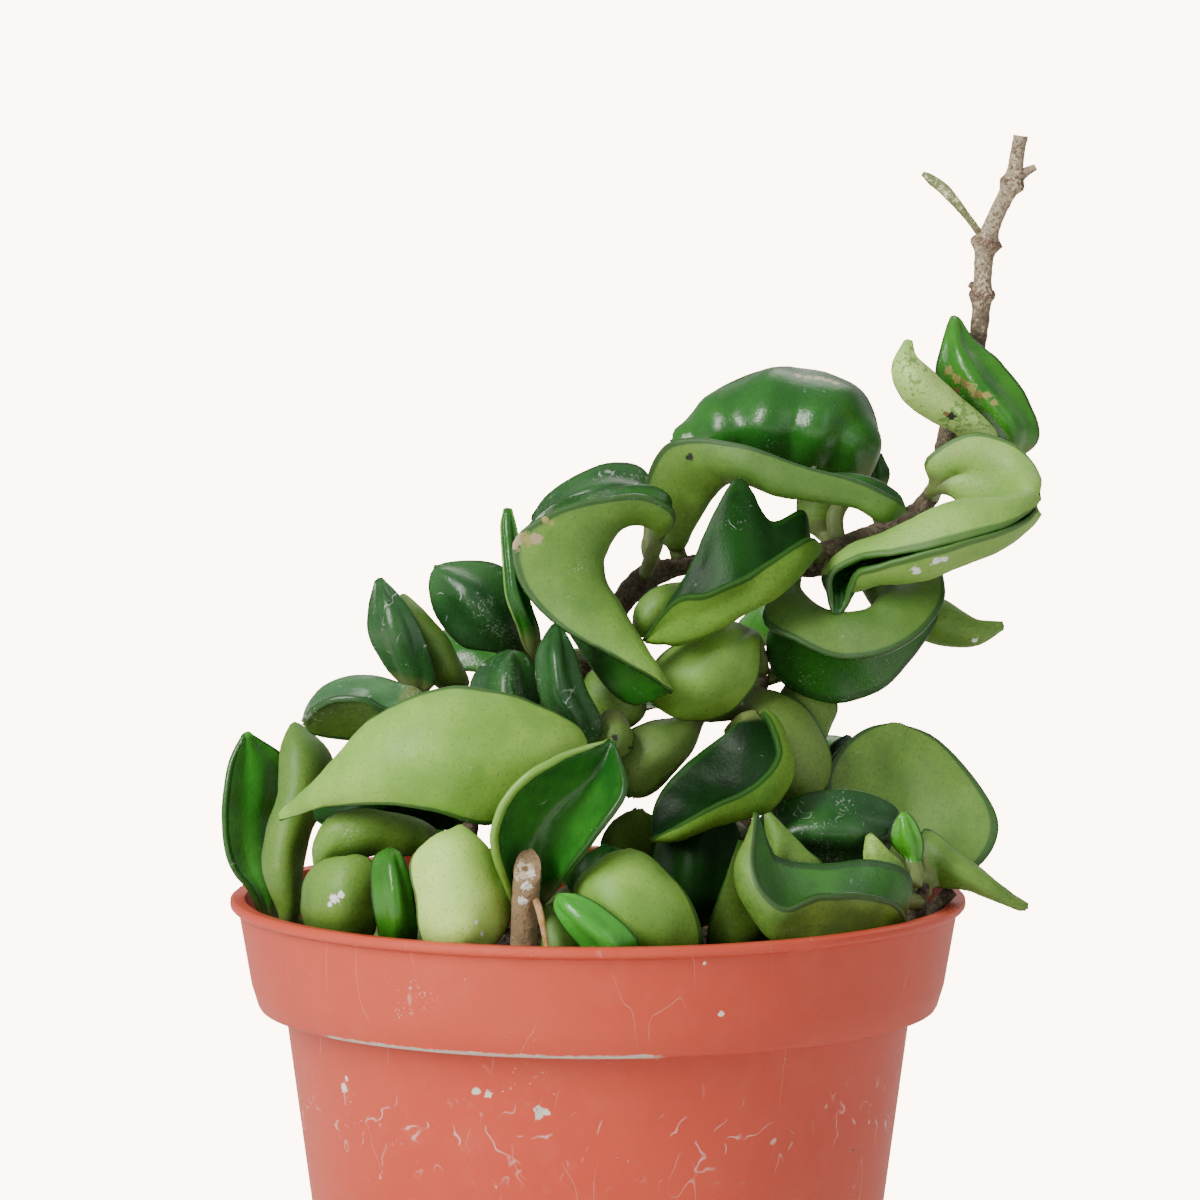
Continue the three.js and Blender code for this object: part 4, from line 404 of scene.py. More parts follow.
        two=[(49, 91.2, -9), (52.4, 91, -9), (55.4, 90.1, -8.8), (58.5, 88.7, -8)], tip=(61.3, 88.1, -9)),
    "young_left": Leaf(PALE, "right_vine", 2.2, stalk=[(43.2, 89.4, -20.6)],
        one=[(43.4, 94.1, -21), (41.4, 96.2, -21.4), (40, 97.6, -21.6)],
        rib=[(42.8, 93.3, -22), (40.4, 94.8, -22.8), (39.2, 96.6, -22.4)],
        two=[(42, 92.5, -21), (39.4, 92.9, -21.4), (38.2, 95, -21.6)], tip=(38.7, 98.5, -20.6), thick=0.7),
    "young_right": Leaf(DARK, "", 0, stalk=[(45, 91.4, -20.6), (45.2, 93, -19.6)],
        one=[(43.8, 95.4, -17.6), (42, 97.6, -18), (42.2, 100, -18)],
        rib=[(45, 95, -18.6), (44.4, 97.6, -19.2), (43.8, 100, -19)],
        two=[(46, 94.8, -17.6), (46.3, 97.5, -18), (45.2, 100.4, -18)], tip=(43.6, 101.8, -18.2), thick=0.7,
        joins="young_left"),
    "shaded_left": Leaf(DARK, "front_vine", 1.95, stalk=[(1.8, 90.6, -23)],
        one=[(-4, 91, -27), (-3.6, 94.6, -27)],
        rib=[(1, 92, -28), (0.6, 95, -27.5)],
        two=[(6.6, 92, -27), (5.6, 95.4, -27)], tip=(1.4, 97, -26)),
    "shaded_middle": Leaf(DARK, "middle_vine", 1.2, stalk=[(14, 86, -14)],
        one=[(8.8, 88, -16.6), (8, 93, -16.4), (8.6, 98, -14.6), (11.4, 102, -12.6)],
        rib=[(13.6, 88, -18.6), (13.8, 93.2, -18.4), (14.2, 98.4, -16.6), (14.8, 102.4, -14)],
        two=[(19.4, 88, -16.6), (20.4, 93, -16), (20.2, 98, -14), (18.4, 102, -12.4)], tip=(15, 105, -12.4)),
    "shaded_right": Leaf(PALE, "middle_vine", 0.8, stalk=[(20.4, 80, -20)],
        one=[(15.8, 83, -30), (17.2, 89, -31.5), (19, 94, -30.5)],
        rib=[(20, 82.6, -31.5), (19.6, 89, -31.5), (19.8, 94.4, -30.5)],
        two=[(24.6, 85, -28.5), (22.6, 90.4, -28.5), (21.6, 95.2, -28)], tip=(20.6, 97.6, -29)),
}
# The back sprays' true points, then their leaves: place on the stem, azimuth, lift, length, half width, curl.
BACK_STEMS: dict[str, list[StemPoint]] = {
    "back_spray_left": [(-17, 27, 70, 1.6), (-19, 29, 88, 1.5), (-18, 28, 104, 1.4), (-12, 25, 118, 1.2)],
    "back_spray_right": [(18, 28, 70, 1.6), (20, 30, 88, 1.5), (22, 29, 106, 1.4), (20, 25, 122, 1.2)],
}
BACK_LEAVES: dict[str, list[tuple[float, ...]]] = {
    "back_spray_left": [
        (1.15, 150, 55, 20, 6.2, 75), (1.45, 82, 58, 22, 6.8, 85), (1.85, 168, 50, 20, 6.2, 95),
        (2.1, 112, 40, 24, 7.2, 110), (2.55, 45, 45, 22, 6.4, 115), (2.95, 128, 60, 20, 6.2, 100)],
    "back_spray_right": [
        (1.15, 28, 55, 20, 6.2, 75), (1.45, 100, 58, 22, 6.8, 85), (1.85, 12, 50, 19, 6, 95),
        (2.1, 66, 38, 24, 7.2, 110), (2.45, 140, 45, 21, 6.4, 110), (2.95, 58, 60, 20, 6.2, 100)],
}
# A back leaf's spine is drawn in steps, and its stations lie at these of them with these shares of its width.
BACK_STEPS = 12
BACK_STATIONS = ((3, 0.7), (5, 1.0), (7, 1.0), (9, 0.78), (11, 0.36))
BACK_EDGE_OUT = 0.86
BACK_EDGE_BACK = 0.55
BACK_CUP = (-0.12, -0.12)
BACK_CLEAR = 0.65


def unit(vector: Array) -> Array:
    """A vector at length one, or zero where it has none."""
    return vector / max(float(np.linalg.norm(vector)), 1e-9)


def clamped(value: float) -> float:
    """A value held between 0 and 1."""
    return max(0.0, min(1.0, value))


def seen(point: tuple[float, ...]) -> Array:
    """The true place, in millimetres, of a point given as it is seen."""
    share = 1 - point[2] / EYE[1]
    return EYE + (np.array([point[0], 0.0, point[1]]) - EYE) * share


def along(points: Array, u: float) -> Array:
    """A smooth curve through points.

    Args:
        points: The points, in rows.
        u: Where to read the curve, where whole numbers are the points themselves.

    Returns:
        The curve's point.
    """
    last = len(points) - 1
    if last < 1:
        return points[0]
    i = int(max(0, min(math.floor(u), last - 1)))
    f = u - i
    before = points[i - 1] if i > 0 else 2 * points[0] - points[1]
    after = points[i + 2] if i + 2 <= last else 2 * points[last] - points[last - 1]
    f2, f3 = f * f, f * f * f
    return (
        before * (-0.5 * f3 + f2 - 0.5 * f)
        + points[i] * (1.5 * f3 - 2.5 * f2 + 1)
        + points[i + 1] * (-1.5 * f3 + 2 * f2 + 0.5 * f)
        + after * (0.5 * f3 - 0.5 * f2)
    )


def across_of(station: Array, forward: Array, given: Optional[Array] = None) -> Array:
    """The direction across a leaf, square to the way forward.

    Args:
        station: Five points across the leaf.
        forward: The way forward.
        given: A direction that is used in place of the station's own.

    Returns:
        The direction, at length one.
    """
    way = given if given is not None else unit(station[4] - station[2]) - unit(station[0] - station[2])
    return unit(way - forward * float(way @ forward))


def leaf_sign(leaf: Leaf, one: Array, rib: Array, forward: Array) -> int:
    """Tells on which side of a leaf its dark face is.

    Args:
        leaf: The leaf.
        one: A point on its first edge.
        rib: The point on the rib beside it.
        forward: The way forward along the rib.

    Returns:
        One where the dark face is on the side that the first half's normal points to, else minus one.
    """
    if leaf.sign:
        return leaf.sign
    dark_seen = float(np.cross(rib - one, forward) @ (EYE - rib)) > 0
    return 1 if dark_seen == (leaf.shows is DARK) else -1


@dataclass
class Stations:
    """A leaf's stations from its stalk to its tip, each a row of five points across."""

    rows: Array
    stalk_count: int
    sign: int
    thick: float
    turned: float


def leaf_stations(leaf: Leaf, stem: Optional[Array]) -> Stations:
    """The stations of a leaf.

    Args:
        leaf: The leaf's lines.
        stem: The points of the stem it grows on with the radius as the fourth value, or None.

    Returns:
        The stations, with the start of the stalk on the stem.
    """
    place = (lambda p: np.array(p, float)) if leaf.real else seen
    one, rib, two = (np.array([place(p) for p in line]) for line in (leaf.one, leaf.rib, leaf.two))
    stalk = [place(p) for p in leaf.stalk]
    tip = place(leaf.tip)
    if stem is not None:
        start = along(stem[:, :3], leaf.at)
        towards = unit((stalk[0] if stalk else rib[0]) - start)
        stalk = [start + towards * along(stem, leaf.at)[3] * 0.7] + stalk
    spine = ([stalk[-1]] if stalk else [rib[0]]) + list(rib) + [tip]
    middle = len(rib) // 2
    sign = leaf_sign(leaf, one[middle], rib[middle], spine[middle + 2] - spine[middle])
    blade = []
    for k, centre in enumerate(rib):
        forward = unit(spine[k + 2] - spine[k])
        dark = np.cross(two[k] - one[k], forward) * sign
        mids = []
        for end, given, share in ((one[k], leaf.one_mid, leaf.cup[0]), (two[k], leaf.two_mid, leaf.cup[1])):
            out = unit(np.cross(forward, end - centre))
            if float(out @ dark) > 0:
                out = -out
            bulge = out * share * np.linalg.norm(end - centre)
            mids.append(place(given[k]) if given else (end + centre) / 2 + bulge)
        blade.append([one[k], mids[0], centre, mids[1], two[k]])
    given = None if leaf.across is None else np.array([leaf.across[0], leaf.across[2], leaf.across[1]])
    rows = []
    for k, point in enumerate(stalk):
        after = stalk[k + 1] if k + 1 < len(stalk) else rib[0]
        forward = unit(after - (stalk[k - 1] if k > 0 else point))
        side = across_of(np.array(blade[0]), forward, given) * STALK_HALF_WIDTH
        rows.append([point + side * w for w in (-1, -0.6, 0, 0.6, 1)])
    rows += blade
    side = across_of(np.array(blade[-1]), unit(tip - rib[-1])) * TIP_HALF_WIDTH
    rows.append([tip + side * w for w in (-1, -0.5, 0, 0.5, 1)])
    return Stations(np.array(rows), len(stalk), sign, leaf.thick, leaf.turned)


def back_leaf(stem: Array, values: tuple[float, ...]) -> Leaf:
    """A curled leaf of a back spray.

    Args:
        stem: The spray's stem.
        values: The place on the stem, azimuth, lift, length, half width and curl.

    Returns:
        The leaf.
    """
    at, azimuth, lift, length, half, curl = values
    start = along(stem, at)
    around = math.radians(azimuth)
    level = np.array([math.cos(around), math.sin(around), 0.0])
    side = np.array([-level[1], level[0], 0.0])
    spine, normals = [start[:3] + level * (start[3] + BACK_CLEAR)], []
    for i in range(BACK_STEPS + 1):
        angle = math.radians(lift - curl * i / BACK_STEPS)
        forward = level * math.cos(angle) + np.array([0, 0, math.sin(angle)])
        normals.append(-np.cross(side, forward))
        spine.append(spine[-1] + forward * length / BACK_STEPS)
    edges = [
        [
            tuple(spine[i] + (side * way * BACK_EDGE_OUT - normals[i] * BACK_EDGE_BACK) * half * w)
            for i, w in BACK_STATIONS
        ]
        for way in (1, -1)
    ]
    return Leaf(
        DARK, "", at, stalk=[tuple(spine[1])], one=edges[0], rib=[tuple(spine[i]) for i, _ in BACK_STATIONS],
        two=edges[1], tip=tuple(spine[BACK_STEPS]), cup=BACK_CUP, real=True, sign=1,
    )


def smoothed(values: Array, passes: int) -> Array:
    """Smooths values along the rows and across the columns of a grid.

    Args:
        values: The grid.
        passes: How often.

    Returns:
        The smoothed grid.
    """
    for _ in range(passes):
        padded = np.pad(values, 1, mode="edge")
        beside = padded[:-2, 1:-1] + padded[2:, 1:-1] + padded[1:-1, :-2] + padded[1:-1, 2:]
        values = (padded[1:-1, 1:-1] * 2 + beside) / 6
    return values


@dataclass(frozen=True)
class Quilt:
    """The swellings along a quilted leaf: how high they are, in millimetres, and their number."""

    depth: float = 0.0
    count: float = 1.0


class LeafMesh:
    """The fine skin of one leaf, with what its finish needs held on its points."""

    def __init__(self, stations: Stations, seed: int, quilt: Quilt = Quilt()) -> None:
        """Works out the leaf's middle sheet and its thickness.

        Args:
            stations: The leaf's stations.
            seed: Where the small waves of the sheet are read from.
            quilt: The leaf's swellings.
        """
        self.st = stations
        self.seed = seed
        rows = stations.rows
        self.spans = len(rows) - 1
        self.us: list[float] = []
        for k in range(self.spans):
            reach = [float(np.linalg.norm(rows[k + 1][j] - rows[k][j])) for j in (0, MIDDLE, 4)]
            steps = max(2, int(round(max(reach[1], 0.7 * max(reach)) / ROW_STEP)))
            self.us += [k + i / steps for i in range(steps)]
        self.us.append(float(self.spans))
        lines = np.array([[along(rows[:, j], u) for j in range(5)] for u in self.us])
        self.sheet = np.array([[along(line, c) for c in ACROSS] for line in lines])
        self.normals = self._normals()
        self._wave(quilt)
        self.depth = self._depth()

    def _run(self, r: int) -> float:
        """A row's share of the way from the blade's foot, at 0, to the tip, at 1."""
        return (self.us[r] - self.st.stalk_count) / max(1e-6, self.spans - self.st.stalk_count)

    def _normals(self) -> Array:
        """Unit normals of the sheet, towards the dark face."""
        normal = np.cross(np.gradient(self.sheet, axis=1), np.gradient(self.sheet, axis=0)) * self.st.sign
        return normal / np.maximum(np.linalg.norm(normal, axis=2, keepdims=True), 1e-9)

    def _wave(self, quilt: Quilt) -> None:
        """Moves the sheet along its normals by small waves and by swellings, fading out over the stalk.

        Args:
            quilt: The leaf's swellings.
        """
        for r, u in enumerate(self.us):
            lobe = quilt.depth * math.cos(2 * math.pi * quilt.count * self._run(r))
            fade = clamped(u - self.st.stalk_count + 0.5)
            for c, across in enumerate(ACROSS):
                p = self.sheet[r, c]
                x, y, z = p * WAVE_SCALE
                n = noise.noise(Vector((x + self.seed * 7.3, y, z)))
                x, y, z = p * RIPPLE_SCALE
                n += RIPPLE_SHARE * noise.noise(Vector((x, y + self.seed * 3.1, z)))
                inner = 1 - (abs(across - MIDDLE) / 2) ** 4
                self.sheet[r, c] = p + self.normals[r, c] * (n * WAVE_DEPTH + lobe * inner) * fade
        self.normals = self._normals()

    def _depth(self) -> Array:
        """The leaf's thickness at each point of the sheet, thinned where a fold or a bend is tight."""
        rows, columns, _ = self.sheet.shape
        full = LEAF_THICKNESS * self.st.thick
        depth = np.zeros((rows, columns))
        for r, u in enumerate(self.us):
            line = self.sheet[r]
            stalk_share = clamped(self.st.stalk_count - 0.2 - u)
            tip_share = clamped((u - self.spans + 1.1) / 1.1)
            for c, across in enumerate(ACROSS):
                side = abs(across - MIDDLE) / 2
                opening = FOLD_SHARE * float(np.linalg.norm(line[c] - line[columns - 1 - c]))
                limit = min(full + (EDGE_THICKNESS - full) * side ** 2, AMPLE if side < 0.3 else opening)
                if 2 <= r < rows - 2:
                    limit = min(limit, self._bend(self.sheet[r - 2, c], line[c], self.sheet[r + 2, c]))
                if 3 <= c < columns - 3:
                    limit = min(limit, self._bend(line[c - 2], line[c], line[c + 2]))
                folded = max(limit, LEAST_THICKNESS)
                stalk = STALK_THICKNESS * math.sqrt(max(0.04, 1 - 0.96 * side ** 2))
                value = folded + (stalk - folded) * stalk_share
                depth[r, c] = value + (EDGE_THICKNESS * 0.8 - value) * tip_share ** 2
        return smoothed(depth, 3)

    @staticmethod
    def _bend(a: Array, p: Array, b: Array) -> float:
        """The most thickness that a bend leaves room for.

        Args:
            a: The point before it.
            p: The bend's own point.
            b: The point after it.

        Returns:
            The thickness, in millimetres.
        """
        first, second = p - a, b - p
        size = min(np.linalg.norm(first), np.linalg.norm(second))
        turn = math.acos(max(-1.0, min(1.0, float(unit(first) @ unit(second)))))
        return AMPLE if turn < 0.05 else 1.3 * float(size) / math.tan(turn / 2) / 2

    def _ring(self, r: int) -> list[tuple[Array, float, float, float]]:
        """The points around the leaf at a row: the dark face, the rim, the pale face and the other rim.

        Args:
            r: The row.

        Returns:
            Each point with its side, from 1 on the dark face to -1, its nearness to the rim and its width.
        """
        sheet, normals, depth = self.sheet[r], self.normals[r], self.depth[r]
        half = normals * depth[:, None] / 2
        faces = {
            way: [
                (sheet[c] + half[c] * way, float(way), abs(width), width)
                for c, width in enumerate((ACROSS - MIDDLE) / 2)
            ]
            for way in (1, -1)
        }
        rims = []
        for end, inner, width, angles in ((-1, -2, 1.0, RIM_ANGLES), (0, 1, -1.0, RIM_ANGLES[::-1])):
            out = unit(sheet[end] - sheet[inner])
            rim = []
            for angle in map(math.radians, angles):
                spread = out * math.sin(angle) * depth[end] * RIM_REACH
                lift = normals[end] * math.cos(angle) * depth[end] / 2
                rim.append((sheet[end] + spread + lift, math.cos(angle), 1.05, width))
            rims.append(rim)
        return faces[1] + rims[0] + faces[-1][::-1] + rims[1]

    def add_to(self, bm: BMesh, tone: float) -> None:
        """Adds the closed skin to a bmesh.

        Args:
            bm: The bmesh, with the float layers of LAYERS on its points.
            tone: The leaf's own value, kept on every point.
        """
        layers = [bm.verts.layers.float[name] for name in LAYERS]
        rings = []
        for r in range(len(self.us)):
            run = self._run(r)
            ring = []
            for place, side, rim, width in self._ring(r):
                vertex = bm.verts.new(Vector(place * MM))
                shown = abs(side) if run > self.st.turned else side
                for layer, value in zip(layers, (shown, rim, run, width, tone)):
                    vertex[layer] = value
                ring.append(vertex)
            rings.append(ring)
        count = len(rings[0])
        for a, b in zip(rings, rings[1:]):
            for i in range(count):
                k = (i + 1) % count
                bm.faces.new((a[i], a[k], b[k], b[i]) if self.st.sign > 0 else (a[i], b[i], b[k], a[k]))
        self._cap(bm, rings[0], self.st.sign < 0)
        self._cap(bm, rings[-1], self.st.sign > 0)

    @staticmethod
    def _cap(bm: BMesh, ring: Ring, forward: bool) -> None:
        """Closes an end by strips between the two faces.

        Args:
            bm: The leaf's bmesh.
            ring: The points around the end.
            forward: Whether the end is seen against the order of its points.
        """
        columns = len(ACROSS)
        upper = ring[:columns]
        lower = ring[columns + 3:2 * columns + 3][::-1]
        faces = [(upper[i], upper[i + 1], lower[i + 1], lower[i]) for i in range(columns - 1)]
        faces.append((upper[-1], *ring[columns:columns + 3], lower[-1]))
        faces.append((lower[0], *ring[2 * columns + 3:], upper[0]))
        for face in faces:
            bm.faces.new(face[::-1] if forward else face)


class Nodes:
    """A node tree that is filled by short calls."""

    def __init__(self, tree: NodeTree) -> None:
        """Holds the tree to fill."""
        self.tree = tree

    def add(
        self, kind: str, inputs: Optional[dict[object, Value]] = None, **settings: object
    ) -> bpy.types.Node:
        """A new node.

        Args:
            kind: The node's type.
            inputs: What goes to its inputs, by name or number.
            settings: The node's own settings.

        Returns:
            The node.
        """
        node = self.tree.nodes.new(kind)
        for name, value in settings.items():
            setattr(node, name, value)
        for name, value in (inputs or {}).items():
            self.put(node.inputs[name], value)
        return node

    def put(self, socket: Socket, value: Value) -> None:
        """Sets or links an input.

        Args:
            socket: The input.
            value: The output that feeds it, or its own value.
        """
        if isinstance(value, Socket):
            self.tree.links.new(value, socket)
        elif isinstance(value, tuple) and len(value) == 3 and len(socket.default_value) == 4:
            socket.default_value = (*value, 1.0)
        else:
            socket.default_value = value

    def math(self, operation: str, a: Value, b: Value = 0.0, clamp: bool = False) -> Socket:
        """The result of an operation on two values, held between 0 and 1 where clamp is set."""
        return self.add("ShaderNodeMath", {0: a, 1: b}, operation=operation, use_clamp=clamp).outputs[0]

    def plus(self, a: Value, b: Value) -> Socket:
        """The sum of two values."""
        return self.math("ADD", a, b)

    def minus(self, a: Value, b: Value, clamp: bool = False) -> Socket:
        """The difference of two values."""
        return self.math("SUBTRACT", a, b, clamp)

    def times(self, a: Value, b: Value, clamp: bool = False) -> Socket:
        """The product of two values."""
        return self.math("MULTIPLY", a, b, clamp)

    def span(self, value: Value, low: float, high: float, to_low: float = 0, to_high: float = 1) -> Socket:
        """A value mapped smoothly from the range low to high to the range to_low to to_high."""
        given = {"Value": value, "From Min": low, "From Max": high, "To Min": to_low, "To Max": to_high}
        return self.add("ShaderNodeMapRange", given, interpolation_type="SMOOTHSTEP").outputs["Result"]

    def mix(self, share: Value, a: Value, b: Value) -> Socket:
        """The colour a with a share of the colour b mixed in."""
        return self.add("ShaderNodeMix", {0: share, 6: a, 7: b}, data_type="RGBA").outputs[2]

    def noise(self, vector: Value, scale: Value, detail: float = 3.0, roughness: float = 0.55) -> Socket:
        """Smooth noise from 0 to 1."""
        given = {"Vector": vector, "Scale": scale, "Detail": detail, "Roughness": roughness}
        return self.add("ShaderNodeTexNoise", given).outputs["Fac"]

    def apart(self, vector: Value) -> tuple[Socket, Socket, Socket]:
        """The three parts of a vector."""
        return tuple(self.add("ShaderNodeSeparateXYZ", {0: vector}).outputs)

    def value_of(self, name: str) -> Socket:
        """A value kept on the mesh's points."""
        return self.add("ShaderNodeAttribute", attribute_name=name).outputs["Fac"]

    def group(self, group: NodeTree, **inputs: Value) -> Sockets:
        """The outputs of a shared group, whose inputs are named with underscores for spaces."""
        given = {name.replace("_", " "): value for name, value in inputs.items()}
        return self.add("ShaderNodeGroup", given, node_tree=group).outputs


SOCKETS = {tuple: "NodeSocketColor", list: "NodeSocketVector", float: "NodeSocketFloat", int: "NodeSocketInt"}


def new_group(
    name: str, inputs: dict[str, object], outputs: dict[str, str], kind: str = "ShaderNodeTree"
) -> tuple[NodeTree, Nodes, Sockets, Sockets]:
    """A new node group with named inputs and outputs.

    Args:
        name: The group's name.
        inputs: Each input's default, or its kind. A tuple is a colour and a list a vector.
        outputs: Each output's kind of socket.
        kind: The kind of node tree.

    Returns:
        The group, its node helper, the values given to it and the values it gives.
    """
    tree = bpy.data.node_groups.new(name, kind)
    for key, value in inputs.items():
        socket = tree.interface.new_socket(key, in_out="INPUT", socket_type=SOCKETS.get(type(value), value))
        if isinstance(value, tuple):
            socket.default_value = (*value, 1.0)
        elif isinstance(value, (int, float)):
            socket.default_value = value
    for key, socket_kind in outputs.items():
        tree.interface.new_socket(key, in_out="OUTPUT", socket_type=socket_kind)
    nodes = Nodes(tree)
    return tree, nodes, nodes.add("NodeGroupInput").outputs, nodes.add("NodeGroupOutput").inputs


PAINTS = ("dark", "fresh", "pale", "shade", "edge", "other_edge", "stalk")


class Groups:
    """The shader groups that several materials share."""

    MASK = {"Mask": "NodeSocketFloat"}

    def __init__(self) -> None:
        """Builds every group once."""
        self.speckle = self._speckle()
        self.scuff = self._scuff()
        self.relief = self._relief()
        self.spot = self._spot()
        self.blade = self._blade()

    def _speckle(self) -> NodeTree:
        """Small uneven specks that gather in patches."""
        given = {"Vector": [], "Scale": 2600.0, "Amount": 0.3, "Patch": 130.0}
        tree, n, i, o = new_group("speckle", given, self.MASK)
        patch = n.minus(n.noise(i["Vector"], i["Patch"]), 0.5)
        limit = n.minus(n.minus(0.86, i["Amount"]), patch)
        fine = n.noise(i["Vector"], i["Scale"], 2.0, 0.6)
        n.put(o["Mask"], n.times(n.minus(fine, limit), 14.0, clamp=True))
        return tree

    def _scuff(self) -> NodeTree:
        """Broken hairlines, as old scratches and dried drops leave."""
        given = {"Vector": [], "Scale": 60.0, "Fineness": 0.006, "Share": 0.5}
        tree, n, i, o = new_group("scuff", given, self.MASK)
        away = n.math("ABSOLUTE", n.minus(n.noise(i["Vector"], i["Scale"], 2.0, 0.5), 0.5))
        line = n.minus(1.0, n.math("DIVIDE", away, i["Fineness"]), clamp=True)
        patch = n.minus(n.noise(i["Vector"], n.times(i["Scale"], 2.1), 1.0), n.minus(1.05, i["Share"]))
        n.put(o["Mask"], n.times(line, n.times(patch, 9.0, clamp=True)))
        return tree

    def _relief(self) -> NodeTree:
        """A normal from a height."""
        given = {"Height": 0.5, "Strength": 0.3, "Distance": 0.0005}
        tree, n, i, o = new_group("relief", given, {"Normal": "NodeSocketVector"})
        n.put(o["Normal"], n.add("ShaderNodeBump", {name: i[name] for name in given}).outputs[0])
        return tree

    def _spot(self) -> NodeTree:
        """A ragged mark about a centre."""
        given = {"Vector": [], "Centre": [], "Radius": 0.001, "Ragged": 1.0}
        tree, n, i, o = new_group("spot", given, self.MASK)
        away = n.add("ShaderNodeVectorMath", {0: i["Vector"], 1: i["Centre"]}, operation="DISTANCE")
        share = n.math("DIVIDE", away.outputs["Value"], i["Radius"])
        ragged = n.times(n.minus(n.noise(i["Vector"], 1100.0, 4.0, 0.75), 0.5), i["Ragged"])
        n.put(o["Mask"], n.span(n.plus(share, ragged), 0.75, 1.0, 1.0, 0.0))
        return tree

    def _blade(self) -> NodeTree:
        """A blade's colour from its dark face over the rim to its pale face, with its grain, a painted shade
        along the rib of its dark face, and its stalk.
        """
        given = {"Vector": [], "Side": 1.0, "Rim": 0.0, "Run": 0.5, "Width": 0.0}
        given |= {key.replace("_", " ").title(): (0.1, 0.2, 0.05) for key in PAINTS}
        gives = {"Colour": "NodeSocketColor", "Pale Share": "NodeSocketFloat", "Height": "NodeSocketFloat"}
        tree, n, i, o = new_group("blade", given, gives)
        vector = i["Vector"]
        wide, mottle = n.noise(vector, 55.0, 2.0), n.noise(vector, 210.0, 4.0, 0.6)
        fine = n.noise(vector, 2300.0, 3.0, 0.65)
        blend = n.plus(n.times(wide, 0.65), n.times(mottle, 0.35))
        dark = n.mix(n.span(blend, 0.38, 0.62), i["Dark"], i["Fresh"])
        pale = n.mix(n.span(blend, 0.36, 0.6), i["Shade"], i["Pale"])
        grain = n.span(fine, 0.46, 0.66, 0.0, 0.5)
        pale = n.mix(grain, pale, i["Shade"])
        cells = n.add("ShaderNodeTexVoronoi", {"Vector": vector, "Scale": 1250.0}).outputs["Distance"]
        pale = n.mix(n.times(n.math("LESS_THAN", cells, 0.2), 0.3), pale, i["Edge"])
        pale = n.mix(n.span(i["Rim"], 0.8, 0.97, 0.0, 0.3), pale, i["Shade"])
        side = n.span(i["Side"], -0.5, 0.2)
        colour = n.mix(side, pale, dark)
        # Painted shade: the dark face is darkened towards its rib, standing in for the shade in the fold's
        # crease.
        rib_shade = n.span(n.math("ABSOLUTE", i["Width"]), 0.0, 0.07, 0.35, 0.0)
        colour = n.mix(n.times(rib_shade, side), colour, i["Dark"])
        line = n.mix(n.math("GREATER_THAN", i["Width"], 0.0), i["Edge"], i["Other Edge"])
        colour = n.mix(n.span(i["Rim"], 0.91, 0.95, 0.0, 0.85), colour, line)
        stalk = n.span(i["Run"], -0.15, -0.01, 1.0, 0.0)
        n.put(o["Colour"], n.mix(stalk, colour, n.mix(grain, i["Stalk"], i["Shade"])))
        n.put(o["Pale Share"], n.minus(1.0, n.times(side, n.minus(1.0, stalk))))
        n.put(o["Height"], n.plus(n.times(mottle, 0.55), n.times(fine, 0.2)))
        return tree


@dataclass(frozen=True)
class LeafFinish:
    """The colours and surface of a kind of leaf, in linear values, and the leaves and sprays that wear it."""

    dark: Colour = (0.007, 0.053, 0.006)
    fresh: Colour = (0.017, 0.118, 0.008)
    pale: Colour = (0.135, 0.27, 0.033)
    shade: Colour = (0.07, 0.17, 0.02)
    edge: Colour = (0.012, 0.06, 0.008)
    other_edge: Colour = (0.012, 0.06, 0.008)
    stalk: Colour = (0.13, 0.17, 0.05)
    gloss: float = 0.27
    dust: float = 0.08
    scuffs: float = 0.36
    flecks: float = 0.0
    shine: float = 0.45
    worn_by: tuple[str, ...] = ()


DEEP = LeafFinish()
